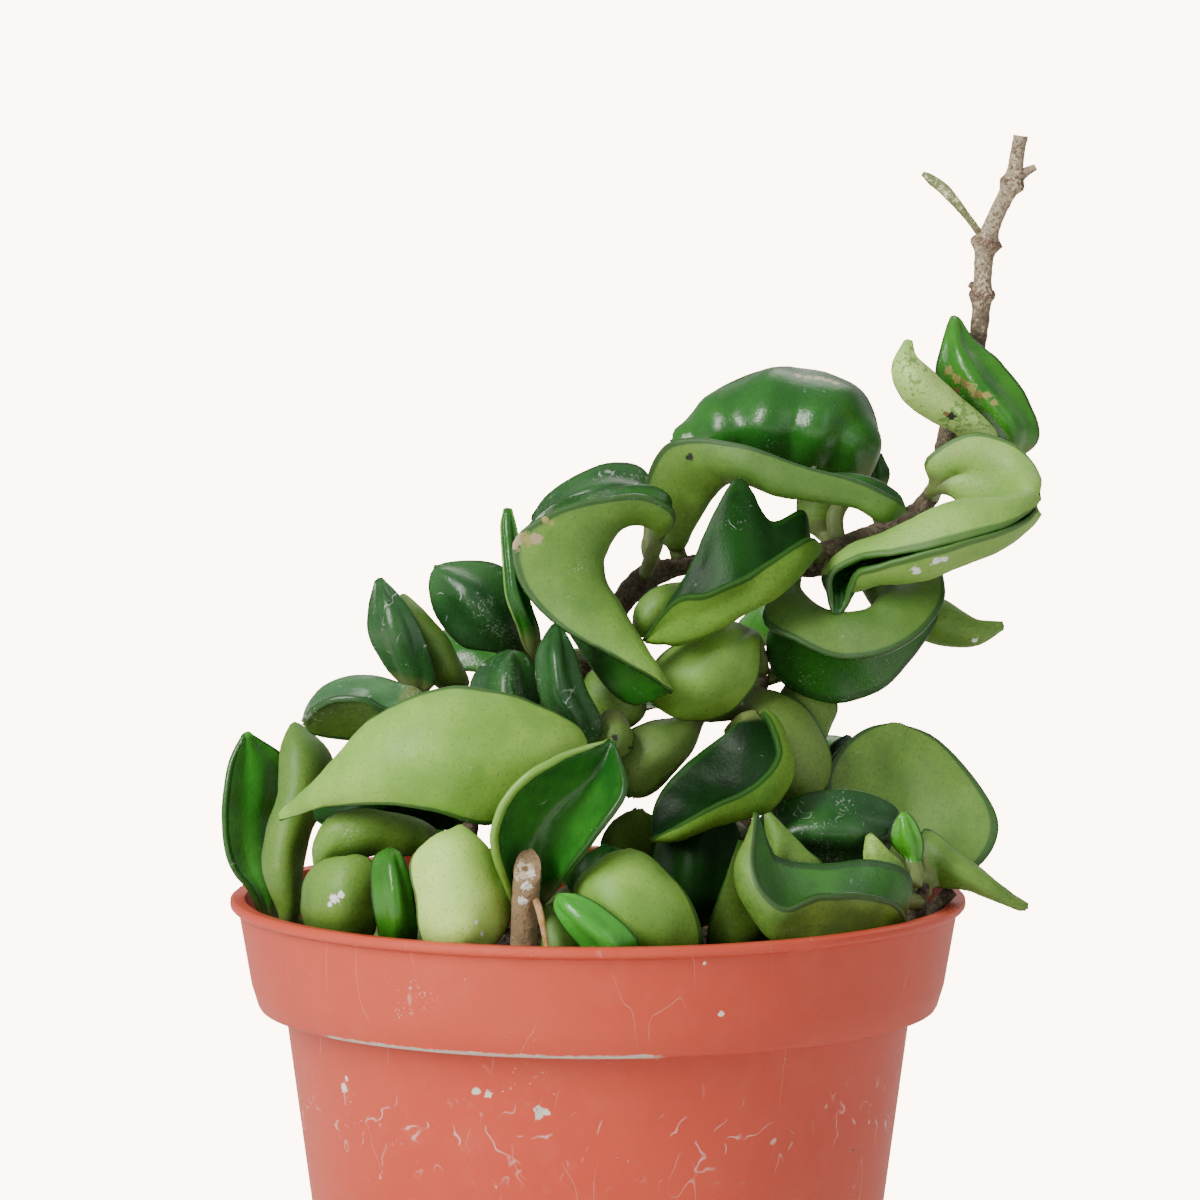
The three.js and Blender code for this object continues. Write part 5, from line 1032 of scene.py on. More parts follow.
# The finishes other than the plain deep green one.
FINISHES: dict[str, LeafFinish] = {
    # Painted shade: darker greens than the plain deep green stand in for the shade on the centre fold, which
    # also has little shine.
    "painted_shade_low_shine": LeafFinish(
        dark=(0.003, 0.024, 0.003), fresh=(0.009, 0.062, 0.007), gloss=0.36, dust=0.03, shine=0.1,
        worn_by=("centre_fold",)),
    # Painted shade: near-black greens for the inside of the centre cup, which lies in deep shade.
    "painted_deep_shade": LeafFinish(
        dark=(0.002, 0.011, 0.002), fresh=(0.004, 0.026, 0.004), gloss=0.36, dust=0.0, scuffs=0.3, shine=0.1,
        worn_by=("centre_cup",)),
    "fresh": LeafFinish(
        dark=(0.012, 0.1, 0.007), fresh=(0.035, 0.19, 0.011), pale=(0.2, 0.36, 0.045),
        worn_by=("top_dark", "front_band", "right_fold", "back_spray_left", "back_spray_right")),
    "glossy": LeafFinish(
        dark=(0.012, 0.085, 0.01), fresh=(0.021, 0.125, 0.013), dust=0.04, worn_by=("upper_dome",)),
    "vivid": LeafFinish(
        dark=(0.04, 0.24, 0.022), fresh=(0.085, 0.35, 0.04), dust=0.06,
        worn_by=("left_outer", "front_glossy")),
    "strip": LeafFinish(
        pale=(0.24, 0.42, 0.08), shade=(0.15, 0.31, 0.045), edge=(0.03, 0.1, 0.014),
        other_edge=(0.03, 0.1, 0.014), worn_by=("right_lobe",)),
    "folded": LeafFinish(
        dark=(0.008, 0.065, 0.007), fresh=(0.022, 0.14, 0.011), edge=(0.17, 0.34, 0.045), dust=0.03,
        gloss=0.24, worn_by=("front_fold",)),
    # Painted shade: a darker copy of the pale face for the ring.
    "painted_dim_pale": LeafFinish(
        pale=(0.1, 0.2, 0.026), shade=(0.055, 0.135, 0.017), dark=(0.01, 0.07, 0.008),
        fresh=(0.02, 0.13, 0.01), worn_by=("ring",)),
    # Partly real dust and partly painted sheen: greyer, bluer and lighter greens for the left hollow.
    "dust_and_sheen": LeafFinish(
        dark=(0.035, 0.12, 0.04), fresh=(0.09, 0.22, 0.085), dust=0.2, scuffs=0.5, worn_by=("left_hollow",)),
    "young": LeafFinish(
        dark=(0.05, 0.25, 0.013), fresh=(0.09, 0.36, 0.025), pale=(0.3, 0.5, 0.08), dust=0.06,
        worn_by=("young_left",)),
    "dusty": LeafFinish(
        dark=(0.009, 0.055, 0.012), fresh=(0.026, 0.11, 0.022), gloss=0.33, dust=0.13, scuffs=0.48,
        worn_by=("upper_round", "upper_left_dark", "middle_round", "middle_wedge", "behind_crescent",
            "right_dark_long")),
    "olive": LeafFinish(
        pale=(0.14, 0.25, 0.042), shade=(0.085, 0.165, 0.027),
        worn_by=("hanging_olive", "drooping", "drooping_small")),
    "sliver": LeafFinish(edge=(0.14, 0.28, 0.05), other_edge=(0.14, 0.28, 0.05), worn_by=("upper_sliver",)),
    # Painted light: a brighter copy of the pale face for leaves that the light falls on.
    "lit": LeafFinish(
        pale=(0.24, 0.44, 0.065), shade=(0.14, 0.31, 0.035),
        worn_by=("front_arch", "front_cupped", "centre_broad")),
    # Painted light: a still brighter copy of the pale face for the front round leaf in full light.
    "bright": LeafFinish(pale=(0.47, 0.7, 0.17), shade=(0.32, 0.54, 0.09), worn_by=("front_round",)),
    # Painted shade: near-black copies of both faces for the leaves deep among the others.
    "shaded": LeafFinish(
        dark=(0.003, 0.022, 0.003), fresh=(0.007, 0.05, 0.004), pale=(0.05, 0.1, 0.012),
        shade=(0.028, 0.065, 0.007), gloss=0.45, dust=0.0, shine=0.12,
        worn_by=("behind_low", "left_inner", "shaded_left", "shaded_middle", "shaded_right",
            "right_dark_back")),
    "flecked": LeafFinish(
        pale=(0.34, 0.51, 0.14), shade=(0.2, 0.37, 0.06), flecks=0.6, worn_by=("top_pale",)),
}
FINISH_OF = {name: finish for finish in FINISHES.values() for name in finish.worn_by}
QUILTS = {"upper_dome": Quilt(0.5, 4.4)}


@dataclass(frozen=True)
class Spot:
    """A mark's true centre and radius, in metres, and its colour."""

    centre: tuple[float, ...]
    radius: float
    colour: Colour


BLACK: Colour = (0.012, 0.014, 0.008)
CHALK: Colour = (0.72, 0.76, 0.74)
TAN: Colour = (0.26, 0.24, 0.07)
CORK: Colour = (0.33, 0.27, 0.15)
BROWN: Colour = (0.2, 0.12, 0.05)
RUST: Colour = (0.16, 0.12, 0.035)
DRIED: Colour = (0.66, 0.58, 0.52)
DROP: Colour = (0.75, 0.66, 0.62)
SPLASH: Colour = (0.75, 0.6, 0.55)

# The marks of a node: x and z as the eye sees them, the radius and the colour.
MARKS: dict[str, list[tuple[float, float, float, Colour]]] = {
    "upper_hook": [(13, 152.6, 0.6, BLACK)],
    "right_lobe": [
        (45.2, 136.6, 0.8, CHALK), (48.1, 137.8, 0.75, CHALK), (49.2, 138.1, 0.55, CHALK),
        (50.7, 153.2, 0.35, CORK)],
    "right_point": [(53.5, 126.5, 0.5, CHALK)],
    "front_low_left": [(-37.6, 89.3, 0.8, CHALK), (-36.8, 89.9, 0.6, CHALK), (-38.2, 88.6, 0.5, CHALK)],
    "front_round": [(-16.6, 84.3, 0.5, CHALK), (-17.4, 86, 0.35, CHALK), (-14.2, 93.4, 0.3, BROWN)],
    "drooping_small": [(2.5, 112.5, 0.5, BLACK), (4.5, 111, 0.45, BLACK)],
    "drooping": [(4.6, 111.2, 0.5, BLACK), (2.8, 110.4, 0.4, BLACK)],
    "top_pale": [(50.2, 158.4, 0.7, BLACK), (49.4, 158.9, 0.4, BROWN)],
    "top_dark": [
        (49.8, 165, 0.7, TAN), (50.8, 163.8, 0.9, TAN), (52, 163.1, 0.9, RUST), (53, 162.2, 1.0, TAN),
        (54, 161.4, 0.8, RUST), (55.2, 161.4, 0.7, TAN), (56.2, 160.4, 0.7, TAN), (51, 162.2, 0.5, BROWN)],
    "upper_dome": [
        (28.4, 164.3, 0.7, CORK), (29.8, 164, 0.8, TAN), (31.2, 163.9, 0.9, CORK), (32.6, 163.6, 0.8, TAN),
        (33.8, 163.2, 0.6, CORK), (30.6, 151.2, 0.5, CHALK)],
    "crescent": [
        (-11.4, 140.7, 1.3, CORK), (-10.2, 140.9, 1.1, TAN), (-8.8, 141.2, 0.9, CORK),
        (-7.6, 143.6, 0.6, TAN), (-6.6, 143.3, 0.5, TAN)],
    "stump": [
        (-10.3, 93.4, 1.5, (0.6, 0.5, 0.34)), (-9.6, 93, 0.7, (0.8, 0.76, 0.66)),
        (-10.3, 91.2, 0.8, (0.78, 0.75, 0.68)), (-10.9, 89, 0.7, (0.75, 0.72, 0.64)),
        (-10.4, 93.6, 0.5, BROWN)],
    "pot": [
        (-36.4, 62, 0.7, DROP), (-36, 63.4, 0.4, DROP), (-8.4, 58.3, 0.9, (0.5, 0.5, 0.43)),
        (-7.4, 58.5, 0.6, (0.6, 0.58, 0.52)), (17.6, 72.7, 0.4, SPLASH), (15.2, 80, 0.3, SPLASH),
        (-17.4, 61.4, 0.6, DRIED), (-15.6, 61.1, 0.6, DRIED), (44, 88.2, 0.9, (0.72, 0.5, 0.45)),
        (36.6, 53, 0.3, (0.1, 0.05, 0.04))],
}


DUST: Colour = (0.42, 0.5, 0.4)
WORN: Colour = (0.52, 0.6, 0.54)
KNOT_RED: Colour = (0.13, 0.055, 0.035)
BARK_ROUGHNESS = 0.88
MARK_RAGGEDNESS = 3.4


class Surface(Nodes):
    """A new material with one principled shader."""

    def __init__(self, name: str, groups: Groups) -> None:
        """Makes the material.

        Args:
            name: The material's name.
            groups: The shared shader groups.
        """
        self.material = bpy.data.materials.new(name)
        self.material.use_nodes = True
        super().__init__(self.material.node_tree)
        self.tree.nodes.clear()
        self.groups = groups
        self.shader = self.add("ShaderNodeBsdfPrincipled")
        self.output = self.add("ShaderNodeOutputMaterial", {0: self.shader.outputs[0]})
        self.vector = self.add("ShaderNodeTexCoord").outputs["Object"]

    def speckle(self, scale: float, amount: float, patch: float) -> Socket:
        """The mask of small specks of a scale, an amount and a patch size."""
        return self.group(self.groups.speckle, Vector=self.vector, Scale=scale, Amount=amount, Patch=patch)[0]

    def scuff(self, scale: float, fineness: float, share: float, vector: Optional[Socket] = None) -> Socket:
        """The mask of broken hairlines, over the piece or over another vector."""
        over = self.vector if vector is None else vector
        return self.group(self.groups.scuff, Vector=over, Scale=scale, Fineness=fineness, Share=share)[0]

    def marked(self, colour: Socket, spots: list[Spot]) -> Socket:
        """Lays marks over a colour.

        Args:
            colour: The colour.
            spots: The marks.

        Returns:
            The marked colour.
        """
        for spot in spots:
            place = {"Vector": self.vector, "Centre": spot.centre, "Radius": spot.radius}
            mask = self.group(self.groups.spot, Ragged=MARK_RAGGEDNESS, **place)[0]
            colour = self.mix(mask, colour, spot.colour)
        return colour

    def finish(self, colour: Value, rough: Value, height: Value, strength: float, depth: float) -> Material:
        """Sets the shader's colour, roughness and relief.

        Args:
            colour: The base colour.
            rough: The roughness.
            height: The relief's height.
            strength: The relief's strength.
            depth: The relief's depth, in metres.

        Returns:
            The material.
        """
        relief = self.group(self.groups.relief, Height=height, Strength=strength, Distance=depth)[0]
        for name, value in (("Base Color", colour), ("Roughness", rough), ("Normal", relief)):
            self.put(self.shader.inputs[name], value)
        return self.material


class Materials:
    """Every material of the object."""

    def __init__(self, groups: Groups) -> None:
        """Builds the materials that are not made for one piece.

        Args:
            groups: The shared shader groups.
        """
        self.groups = groups
        self.bark = self._bark("vine_bark", (0.06, 0.042, 0.026), (0.17, 0.135, 0.085))
        self.bract = self._bark("dry_bract", (0.16, 0.2, 0.07), (0.3, 0.34, 0.16), 0.0)
        self.strip = self._bark("dry_strip", (0.45, 0.25, 0.08), (0.66, 0.42, 0.18))
        self.soil = self._crumb("potting_mix", (0.012, 0.008, 0.005), (0.07, 0.04, 0.022))
        self.chips = self._crumb("bark_chips", (0.05, 0.025, 0.012), (0.24, 0.13, 0.06))
        self.floor = self._floor()

    def leaf(self, name: str, finish: LeafFinish, spots: list[Spot]) -> Material:
        """A leaf's material.

        Args:
            name: The material's name.
            finish: The leaf's finish.
            spots: Its marks.

        Returns:
            The material.
        """
        n = Surface(name, self.groups)
        read = {key.title(): n.value_of(key) for key in LAYERS if key != "tone"}
        paints = {key.title(): getattr(finish, key) for key in PAINTS}
        blade = n.group(self.groups.blade, Vector=n.vector, **read, **paints)
        value = n.plus(0.85, n.times(n.value_of("tone"), 0.3))
        colour = n.add("ShaderNodeHueSaturation", {"Color": blade["Colour"], "Value": value}).outputs[0]
        if finish.flecks:
            colour = n.mix(n.times(n.speckle(1300.0, 0.26, 200.0), finish.flecks), colour, finish.fresh)
        dust = n.speckle(2600.0, finish.dust, 130.0)
        colour = n.mix(n.times(dust, 0.36), colour, DUST)
        bare = n.minus(0.6, n.times(blade["Pale Share"], 0.45))
        colour = n.mix(n.times(n.scuff(190.0, 0.012, finish.scuffs), bare), colour, WORN)
        rough = n.plus(n.plus(finish.gloss, n.times(blade["Pale Share"], 0.28)), n.times(dust, 0.3))
        glow = {"Weight": 0.1, "Radius": (0.5, 1.0, 0.2), "Scale": 0.0015}
        for key, value in glow.items():
            n.put(n.shader.inputs["Subsurface " + key], value)
        n.put(n.shader.inputs["Specular IOR Level"], finish.shine)
        return n.finish(n.marked(colour, spots), rough, blade["Height"], 0.4, 0.0006)

    def _bark(self, name: str, low: Colour, high: Colour, paling: float = 0.75) -> Material:
        """Dry scurfy bark, paler towards the vine's bare top and redder at its knots.

        Args:
            name: The material's name.
            low: The colour of its hollows.
            high: The colour of its ridges.
            paling: How much it pales towards the top.

        Returns:
            The material.
        """
        n = Surface(name, self.groups)
        level = n.apart(n.vector)[2]
        wide, fine = n.noise(n.vector, 330.0, 4.0), n.noise(n.vector, 1900.0, 4.0, 0.7)
        colour = n.mix(n.span(wide, 0.35, 0.65), low, high)
        bleached = tuple(min(1.0, c * 2.6 + 0.05) for c in high)
        scurf = tuple(min(1.0, c * 3.4 + 0.1) for c in high)
        colour = n.mix(n.span(level, 0.165, 0.186, 0.0, paling), colour, bleached)
        colour = n.mix(n.times(n.value_of("knot"), 0.85), colour, KNOT_RED)
        bare = n.span(level, 0.15, 0.182, 0.12, 0.7)
        colour = n.mix(n.times(n.speckle(1700.0, 0.31, 300.0), bare), colour, scurf)
        colour = n.mix(n.span(fine, 0.47, 0.62, 0.0, 0.78), colour, low)
        return n.finish(colour, BARK_ROUGHNESS, fine, 0.8, 0.0006)

    def stump(self, spots: list[Spot]) -> Material:
        """The cut stump's bark and its pale cut face.

        Args:
            spots: Its marks.

        Returns:
            The material.
        """
        n = Surface("stump_bark", self.groups)
        wide, fine = n.noise(n.vector, 420.0, 4.0), n.noise(n.vector, 2200.0, 4.0, 0.7)
        colour = n.mix(n.span(wide, 0.35, 0.65), (0.06, 0.055, 0.03), (0.2, 0.15, 0.08))
        colour = n.mix(n.span(n.apart(n.vector)[2], 0.0858, 0.0895, 0.0, 0.8), colour, (0.36, 0.24, 0.12))
        colour = n.mix(n.span(fine, 0.45, 0.7, 0.0, 0.55), n.marked(colour, spots), (0.1, 0.07, 0.04))
        return n.finish(colour, BARK_ROUGHNESS, fine, 0.9, 0.0007)

    def pot(self, spots: list[Spot]) -> Material:
        """Satin terracotta-coloured plastic with scratches, dried drops and a scrape along its band.

        Args:
            spots: Its marks.

        Returns:
            The material.
        """
        n = Surface("pot_plastic", self.groups)
        vector = n.vector
        x, y, z = n.apart(vector)
        wide, mottle = n.noise(vector, 22.0), n.noise(vector, 160.0, 4.0, 0.6)
        colour = n.mix(n.span(wide, 0.35, 0.65), (0.5, 0.045, 0.018), (0.53, 0.06, 0.026))
        colour = n.mix(n.span(mottle, 0.45, 0.75, 0.0, 0.18), colour, (0.6, 0.12, 0.07))
        stretched = n.add("ShaderNodeMapping", {"Scale": (1.0, 1.0, 0.35), "Vector": vector}).outputs[0]
        hair = n.scuff(95.0, 0.004, 0.52, stretched)
        colour = n.mix(n.times(hair, 0.4), colour, (0.75, 0.42, 0.36))
        zone = n.times(n.span(z, 0.054, 0.06), n.span(z, 0.064, 0.068, 1.0, 0.0))
        lime = n.times(n.times(n.scuff(150.0, 0.014, 0.55), zone), 0.6)
        colour = n.mix(lime, colour, (0.72, 0.6, 0.56))
        colour = n.mix(n.times(n.speckle(1700.0, 0.06, 90.0), 0.45), colour, (0.78, 0.55, 0.5))
        ragged = n.times(n.minus(n.noise(vector, 500.0, 4.0, 0.7), 0.5), 0.0011)
        level = n.plus(z, ragged)
        scrape = n.times(n.span(level, 0.07395, 0.0741), n.span(level, 0.0745, 0.0748, 1.0, 0.0))
        scrape = n.times(scrape, n.span(n.plus(x, n.times(ragged, 6.0)), -0.0385, -0.0365))
        scrape = n.times(scrape, n.span(n.plus(x, n.times(ragged, 9.0)), 0.006, 0.0105, 1.0, 0.0))
        scrape = n.times(scrape, n.math("LESS_THAN", y, 0.0))
        colour = n.mix(n.times(scrape, 0.9), colour, (0.5, 0.5, 0.43))
        rough = n.plus(n.plus(0.4, n.times(mottle, 0.16)), n.times(lime, 0.3))
        height = n.plus(n.times(n.noise(vector, 2600.0, 2.0), 0.25), n.times(hair, -0.5))
        return n.finish(n.marked(colour, spots), rough, height, 0.22, 0.0002)

    def _crumb(self, name: str, low: Colour, high: Colour) -> Material:
        """Crumbly dark peat or bark.

        Args:
            name: The material's name.
            low: The colour of its hollows.
            high: The colour of its ridges.

        Returns:
            The material.
        """
        n = Surface(name, self.groups)
        wide, fine = n.noise(n.vector, 250.0, 5.0, 0.65), n.noise(n.vector, 1500.0, 4.0, 0.7)
        colour = n.mix(n.span(wide, 0.3, 0.7), low, high)
        return n.finish(n.mix(n.times(fine, 0.4), colour, low), 0.92, fine, 0.9, 0.0008)

    def _floor(self) -> Material:
        """The plain pale floor, bright behind the plant and duller as a reflector."""
        n = Surface("floor", self.groups)
        n.put(n.shader.inputs["Base Color"], (0.82, 0.78, 0.74))
        n.put(n.shader.inputs["Roughness"], 0.9)
        glow = n.add("ShaderNodeEmission", {"Color": (1.0, 0.81, 0.67), "Strength": 11.0}).outputs[0]
        camera_ray = n.add("ShaderNodeLightPath").outputs["Is Camera Ray"]
        blend = n.add("ShaderNodeMixShader", {0: camera_ray, 1: n.shader.outputs[0], 2: glow})
        n.put(n.output.inputs[0], blend.outputs[0])
        return n.material


def new_object(name: str, mesh: Mesh) -> bpy.types.Object:
    """A mesh object at the origin in the scene.

    Args:
        name: The object's name.
        mesh: Its mesh.

    Returns:
        The object.
    """
    made = bpy.data.objects.new(name, mesh)
    bpy.context.scene.collection.objects.link(made)
    return made


def mesh_of(bm: BMesh, name: str, *materials: Material) -> Mesh:
    """A smooth mesh with normals facing out.

    Args:
        bm: The bmesh it is made from, which is freed.
        name: The mesh's name.
        materials: Its materials.

    Returns:
        The mesh.
    """
    bmesh.ops.recalc_face_normals(bm, faces=bm.faces)
    mesh = bpy.data.meshes.new(name)
    bm.to_mesh(mesh)
    bm.free()
    mesh.polygons.foreach_set("use_smooth", [True] * len(mesh.polygons))
    for material in materials:
        mesh.materials.append(material)
    return mesh


def leaf_bmesh() -> BMesh:
    """An empty bmesh with the values that a leaf's finish reads."""
    bm = bmesh.new()
    for name in LAYERS:
        bm.verts.layers.float.new(name)
    return bm


def spots_on(name: str, mesh: Mesh) -> list[Spot]:
    """A piece's marks, found along the lines of sight.

    Args:
        name: The piece's name in MARKS.
        mesh: The mesh that carries the marks.

    Returns:
        The marks.
    """
    found = []
    if name in MARKS:
        tree = BVHTree.FromPolygons([v.co for v in mesh.vertices], [tuple(p.vertices) for p in mesh.polygons])
        eye = Vector(EYE * MM)
        for x, z, radius, colour in MARKS[name]:
            towards = Vector((x * MM, 0.0, z * MM)) - eye
            hit = tree.ray_cast(eye, towards.normalized())[0]
            if hit is not None:
                found.append(Spot(tuple(hit), radius * MM, colour))
    return found


def finish_piece(piece: bpy.types.Object, node: str) -> None:
    """Gives a piece the body it rides on and the node it replaces.

    Args:
        piece: The piece.
        node: The node's name.
    """
    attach(piece, "root")
    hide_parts(node)
    log.info("%s: %d triangles", piece.name, sum(len(p.vertices) - 2 for p in piece.data.polygons))


def dressed(n: Nodes, geometry: Socket, material: Socket) -> Socket:
    """Makes instances real and sets their material.

    Args:
        n: The tree's helper.
        geometry: The geometry.
        material: The material.

    Returns:
        The dressed geometry.
    """
    real = n.add("GeometryNodeRealizeInstances", {0: geometry}).outputs[0]
    return n.add("GeometryNodeSetMaterial", {"Geometry": real, "Material": material}).outputs[0]


def stem_skin() -> NodeTree:
    """The geometry nodes that turn centre lines into rough bark.

    Returns:
        The tree, which reads each point's thickness from the attribute thick.
    """
    given = {
        "Lines": "NodeSocketGeometry", "Sides": 18, "Pitting": 0.0002, "Grain": 900.0, "Seed": 3.0,
        "Bark": "NodeSocketMaterial",
    }
    tree, n, i, o = new_group("stem_skin", given, {"Skin": "NodeSocketGeometry"}, "GeometryNodeTree")
    curve = n.add("GeometryNodeMeshToCurve", {0: i["Lines"]}).outputs[0]
    thick = n.add("GeometryNodeInputNamedAttribute", {"Name": "thick"}, data_type="FLOAT").outputs[0]
    circle = n.add("GeometryNodeCurvePrimitiveCircle", {"Resolution": i["Sides"], "Radius": 1.0}).outputs[0]
    swept = {"Curve": curve, "Scale": thick, "Profile Curve": circle, "Fill Caps": True}
    skin = n.add("GeometryNodeCurveToMesh", swept).outputs[0]
    place = n.add("GeometryNodeInputPosition").outputs[0]
    pitted = {"Vector": place, "W": i["Seed"], "Scale": i["Grain"], "Detail": 4.0}
    pits = n.add("ShaderNodeTexNoise", pitted, noise_dimensions="4D").outputs[0]
    depth = n.times(n.minus(pits, 0.5), n.times(i["Pitting"], 2.0))
    normal = n.add("GeometryNodeInputNormal").outputs[0]
    push = n.add("ShaderNodeVectorMath", {0: normal, "Scale": depth}, operation="SCALE").outputs[0]
    moved = n.add("GeometryNodeSetPosition", {"Geometry": skin, "Offset": push}).outputs[0]
    n.put(o["Skin"], dressed(n, moved, i["Bark"]))
    return tree


def grown(tree: NodeTree, source: Mesh, name: str, values: dict[str, object]) -> Mesh:
    """A plain mesh that a geometry nodes tree makes from a source mesh.

    Args:
        tree: The geometry nodes tree.
        source: The mesh that it starts from.
        name: The new mesh's name.
        values: The tree's inputs by name.

    Returns:
        The mesh.
    """
    carrier = new_object("carrier", source)
    modifier = carrier.modifiers.new("nodes", "NODES")
    modifier.node_group = tree
    for item in tree.interface.items_tree:
        if item.item_type == "SOCKET" and item.in_out == "INPUT" and item.name in values:
            modifier[item.identifier] = values[item.name]
    evaluated = carrier.evaluated_get(bpy.context.evaluated_depsgraph_get())
    mesh = bpy.data.meshes.new_from_object(evaluated)
    mesh.name = name
    carrier.modifiers.remove(modifier)
    bpy.data.objects.remove(carrier)
    return mesh


def bell(distance: float, width: float) -> float:
    """A smooth bump that is 1 in its middle and fades over a width."""
    return math.exp(-((distance / width) ** 2))


def centre_lines(lines: list[Array]) -> Mesh:
    """Poly-lines along smooth stems, with each point's thickness and how much of a knot it is.

    Args:
        lines: The stems' points with the radius as the fourth value, in millimetres.

    Returns:
        A mesh of edges.
    """
    points, edges, thick, knot = [], [], [], []
    for line in lines:
        us = []
        for k in range(len(line) - 1):
            count = max(1, int(round(float(np.linalg.norm(line[k + 1][:3] - line[k][:3])) / STEM_STEP)))
            us += [k + i / count for i in range(count)]
        us.append(len(line) - 1)
        first = len(points)
        knotted = line[0][3] > KNOTTED_RADIUS
        for u in us:
            p = along(line, u)
            points.append(tuple(p[:3] * MM))
            rise = sum(high * bell(p[2] - place, KNOT_LENGTH) for place, high in KNOTS) if knotted else 0.0
            scar = max(bell(p[2] - place - SCAR_LIFT, SCAR_LENGTH) for place, _ in KNOTS)
            thick.append((max(0.2, p[3]) + rise) * MM)
            knot.append(scar if knotted else max(0.0, 1.1 - 0.8 * u))
        edges += [(i, i + 1) for i in range(first, len(points) - 1)]
    mesh = bpy.data.meshes.new("centre_lines")
    mesh.from_pydata(points, edges, [])
    mesh.attributes.new("thick", "FLOAT", "POINT").data.foreach_set("value", thick)
    mesh.attributes.new("knot", "FLOAT", "POINT").data.foreach_set("value", knot)
    return mesh


def joined(name: str, *parts: Mesh) -> Mesh:
    """One mesh of several, each with its own materials and smooth faces.

    Args:
        name: The mesh's name.
        parts: The meshes.

    Returns:
        The mesh.
    """
    bm = bmesh.new()
    materials: list[Material] = []
    for part in parts:
        first = len(bm.faces)
        bm.from_mesh(part)
        bm.faces.ensure_lookup_table()
        for face in bm.faces[first:]:
            material = part.materials[face.material_index]
            if material not in materials:
                materials.append(material)
            face.material_index = materials.index(material)
    mesh = mesh_of(bm, name, *materials)
    mesh.set_sharp_from_angle(angle=math.radians(70))
    return mesh


class Vines:
    """The woody stems that the leaves grow on."""

    def __init__(self, materials: Materials) -> None:
        """Works out the stems' true points.

        Args:
            materials: The object's materials.
        """
        self.materials = materials
        self.skin = stem_skin()
        self.points = {name: self._true(rows) for name, rows in STEMS.items()}

    @staticmethod
    def _true(rows: list[StemPoint]) -> Array:
        """True points, with the radius, of a stem's seen points."""
        return np.array([[*seen(row[:3]), row[3]] for row in rows])

    def skin_of(self, lines: list[Array], sides: int, pitting: float, bark: Material) -> Mesh:
        """Bark over centre lines.

        Args:
            lines: The stems' true points with their radius.
            sides: How many sides a stem has.
            pitting: The depth of the bark's pits, in millimetres.
            bark: The bark's material.

        Returns:
            The mesh.
        """
        values = {"Sides": sides, "Pitting": pitting * MM, "Grain": 900.0, "Seed": 3.0, "Bark": bark}
        return grown(self.skin, centre_lines(lines), "bark", values)

    def build(self) -> None:
        """Makes a piece for every stem, and the cut stump with its dry strip."""
        for name, points in self.points.items():
            parts = [self.skin_of([points], 20, 0.34, self.materials.bark)]
            side_growths = [self._true(rows) for rows in GROWN_ON.get(name, [])]
            if side_growths:
                bract = self.materials.bract if name == "main_vine" else self.materials.bark
                parts.append(self.skin_of(side_growths[:1], 12, 0.12, bract))
            if side_growths[1:]:
                parts.append(self.skin_of(side_growths[1:], 12, 0.2, self.materials.bark))
            finish_piece(new_object(name + "_bark", joined(name, *parts)), name)
        self._build_stump()

    def _build_stump(self) -> None:
        """Makes the stump, whose top is cut at a slant towards the front."""
        trunk = self.skin_of([self._true(STUMP)], 30, 0.4, self.materials.soil)
        top = self._true(STUMP)[-1]
        for vertex in trunk.vertices:
            lift = clamped((vertex.co.z / MM - SLANT_FROM) / SLANT_LENGTH)
            vertex.co.z += (vertex.co.y / MM - top[1]) * SLANT * lift * MM
        trunk.materials.clear()
        trunk.materials.append(self.materials.stump(spots_on("stump", trunk)))
        strip = self.skin_of([self._true(STUMP_STRIP)], 10, 0.15, self.materials.strip)
        finish_piece(new_object("stump_bark", joined("stump", trunk, strip)), "stump")


@dataclass
class Foliage:
    """The leaves of the vines."""

    materials: Materials
    vines: Vines

    def build(self) -> None:
        """Makes a piece for every leaf node."""
        seeds = {name: k for k, name in enumerate(LEAVES)}
        for name, leaf in LEAVES.items():
            if leaf.joins:
                continue
            bm = leaf_bmesh()
            for part in [name] + [other for other, spec in LEAVES.items() if spec.joins == name]:
                spec = LEAVES[part]
                stations = leaf_stations(spec, self.vines.points.get(spec.stem))
                tone = (math.sin(seeds[part] * 12.9898 + 1.0) * 43758.5453) % 1.0
                LeafMesh(stations, seeds[part], QUILTS.get(part, Quilt())).add_to(bm, tone)
            mesh = mesh_of(bm, "leaf_" + name)
            finish = FINISH_OF.get(name, DEEP)
            mesh.materials.append(self.materials.leaf(mesh.name, finish, spots_on(name, mesh)))
            finish_piece(new_object(name + "_leaf", mesh), "leaf_" + name)


@dataclass
class BackSprays:
    """The two sprays that fill the plant's unseen back."""

    materials: Materials
    vines: Vines

    def build(self) -> None:
        """Makes a piece for each spray."""
        for number, (name, rows) in enumerate(BACK_STEMS.items()):
            stem = np.array(rows, float)
            bm = leaf_bmesh()
            for k, values in enumerate(BACK_LEAVES[name]):
                stations = leaf_stations(back_leaf(stem, values), stem)
                LeafMesh(stations, 80 + 10 * number + k).add_to(bm, (k * 0.37) % 1.0)
            leaves = mesh_of(bm, name, self.materials.leaf(name, FINISH_OF[name], []))
            bark = self.vines.skin_of([stem], 16, 0.3, self.materials.bark)
            finish_piece(new_object(name + "_leaves", joined(name, leaves, bark)), name)


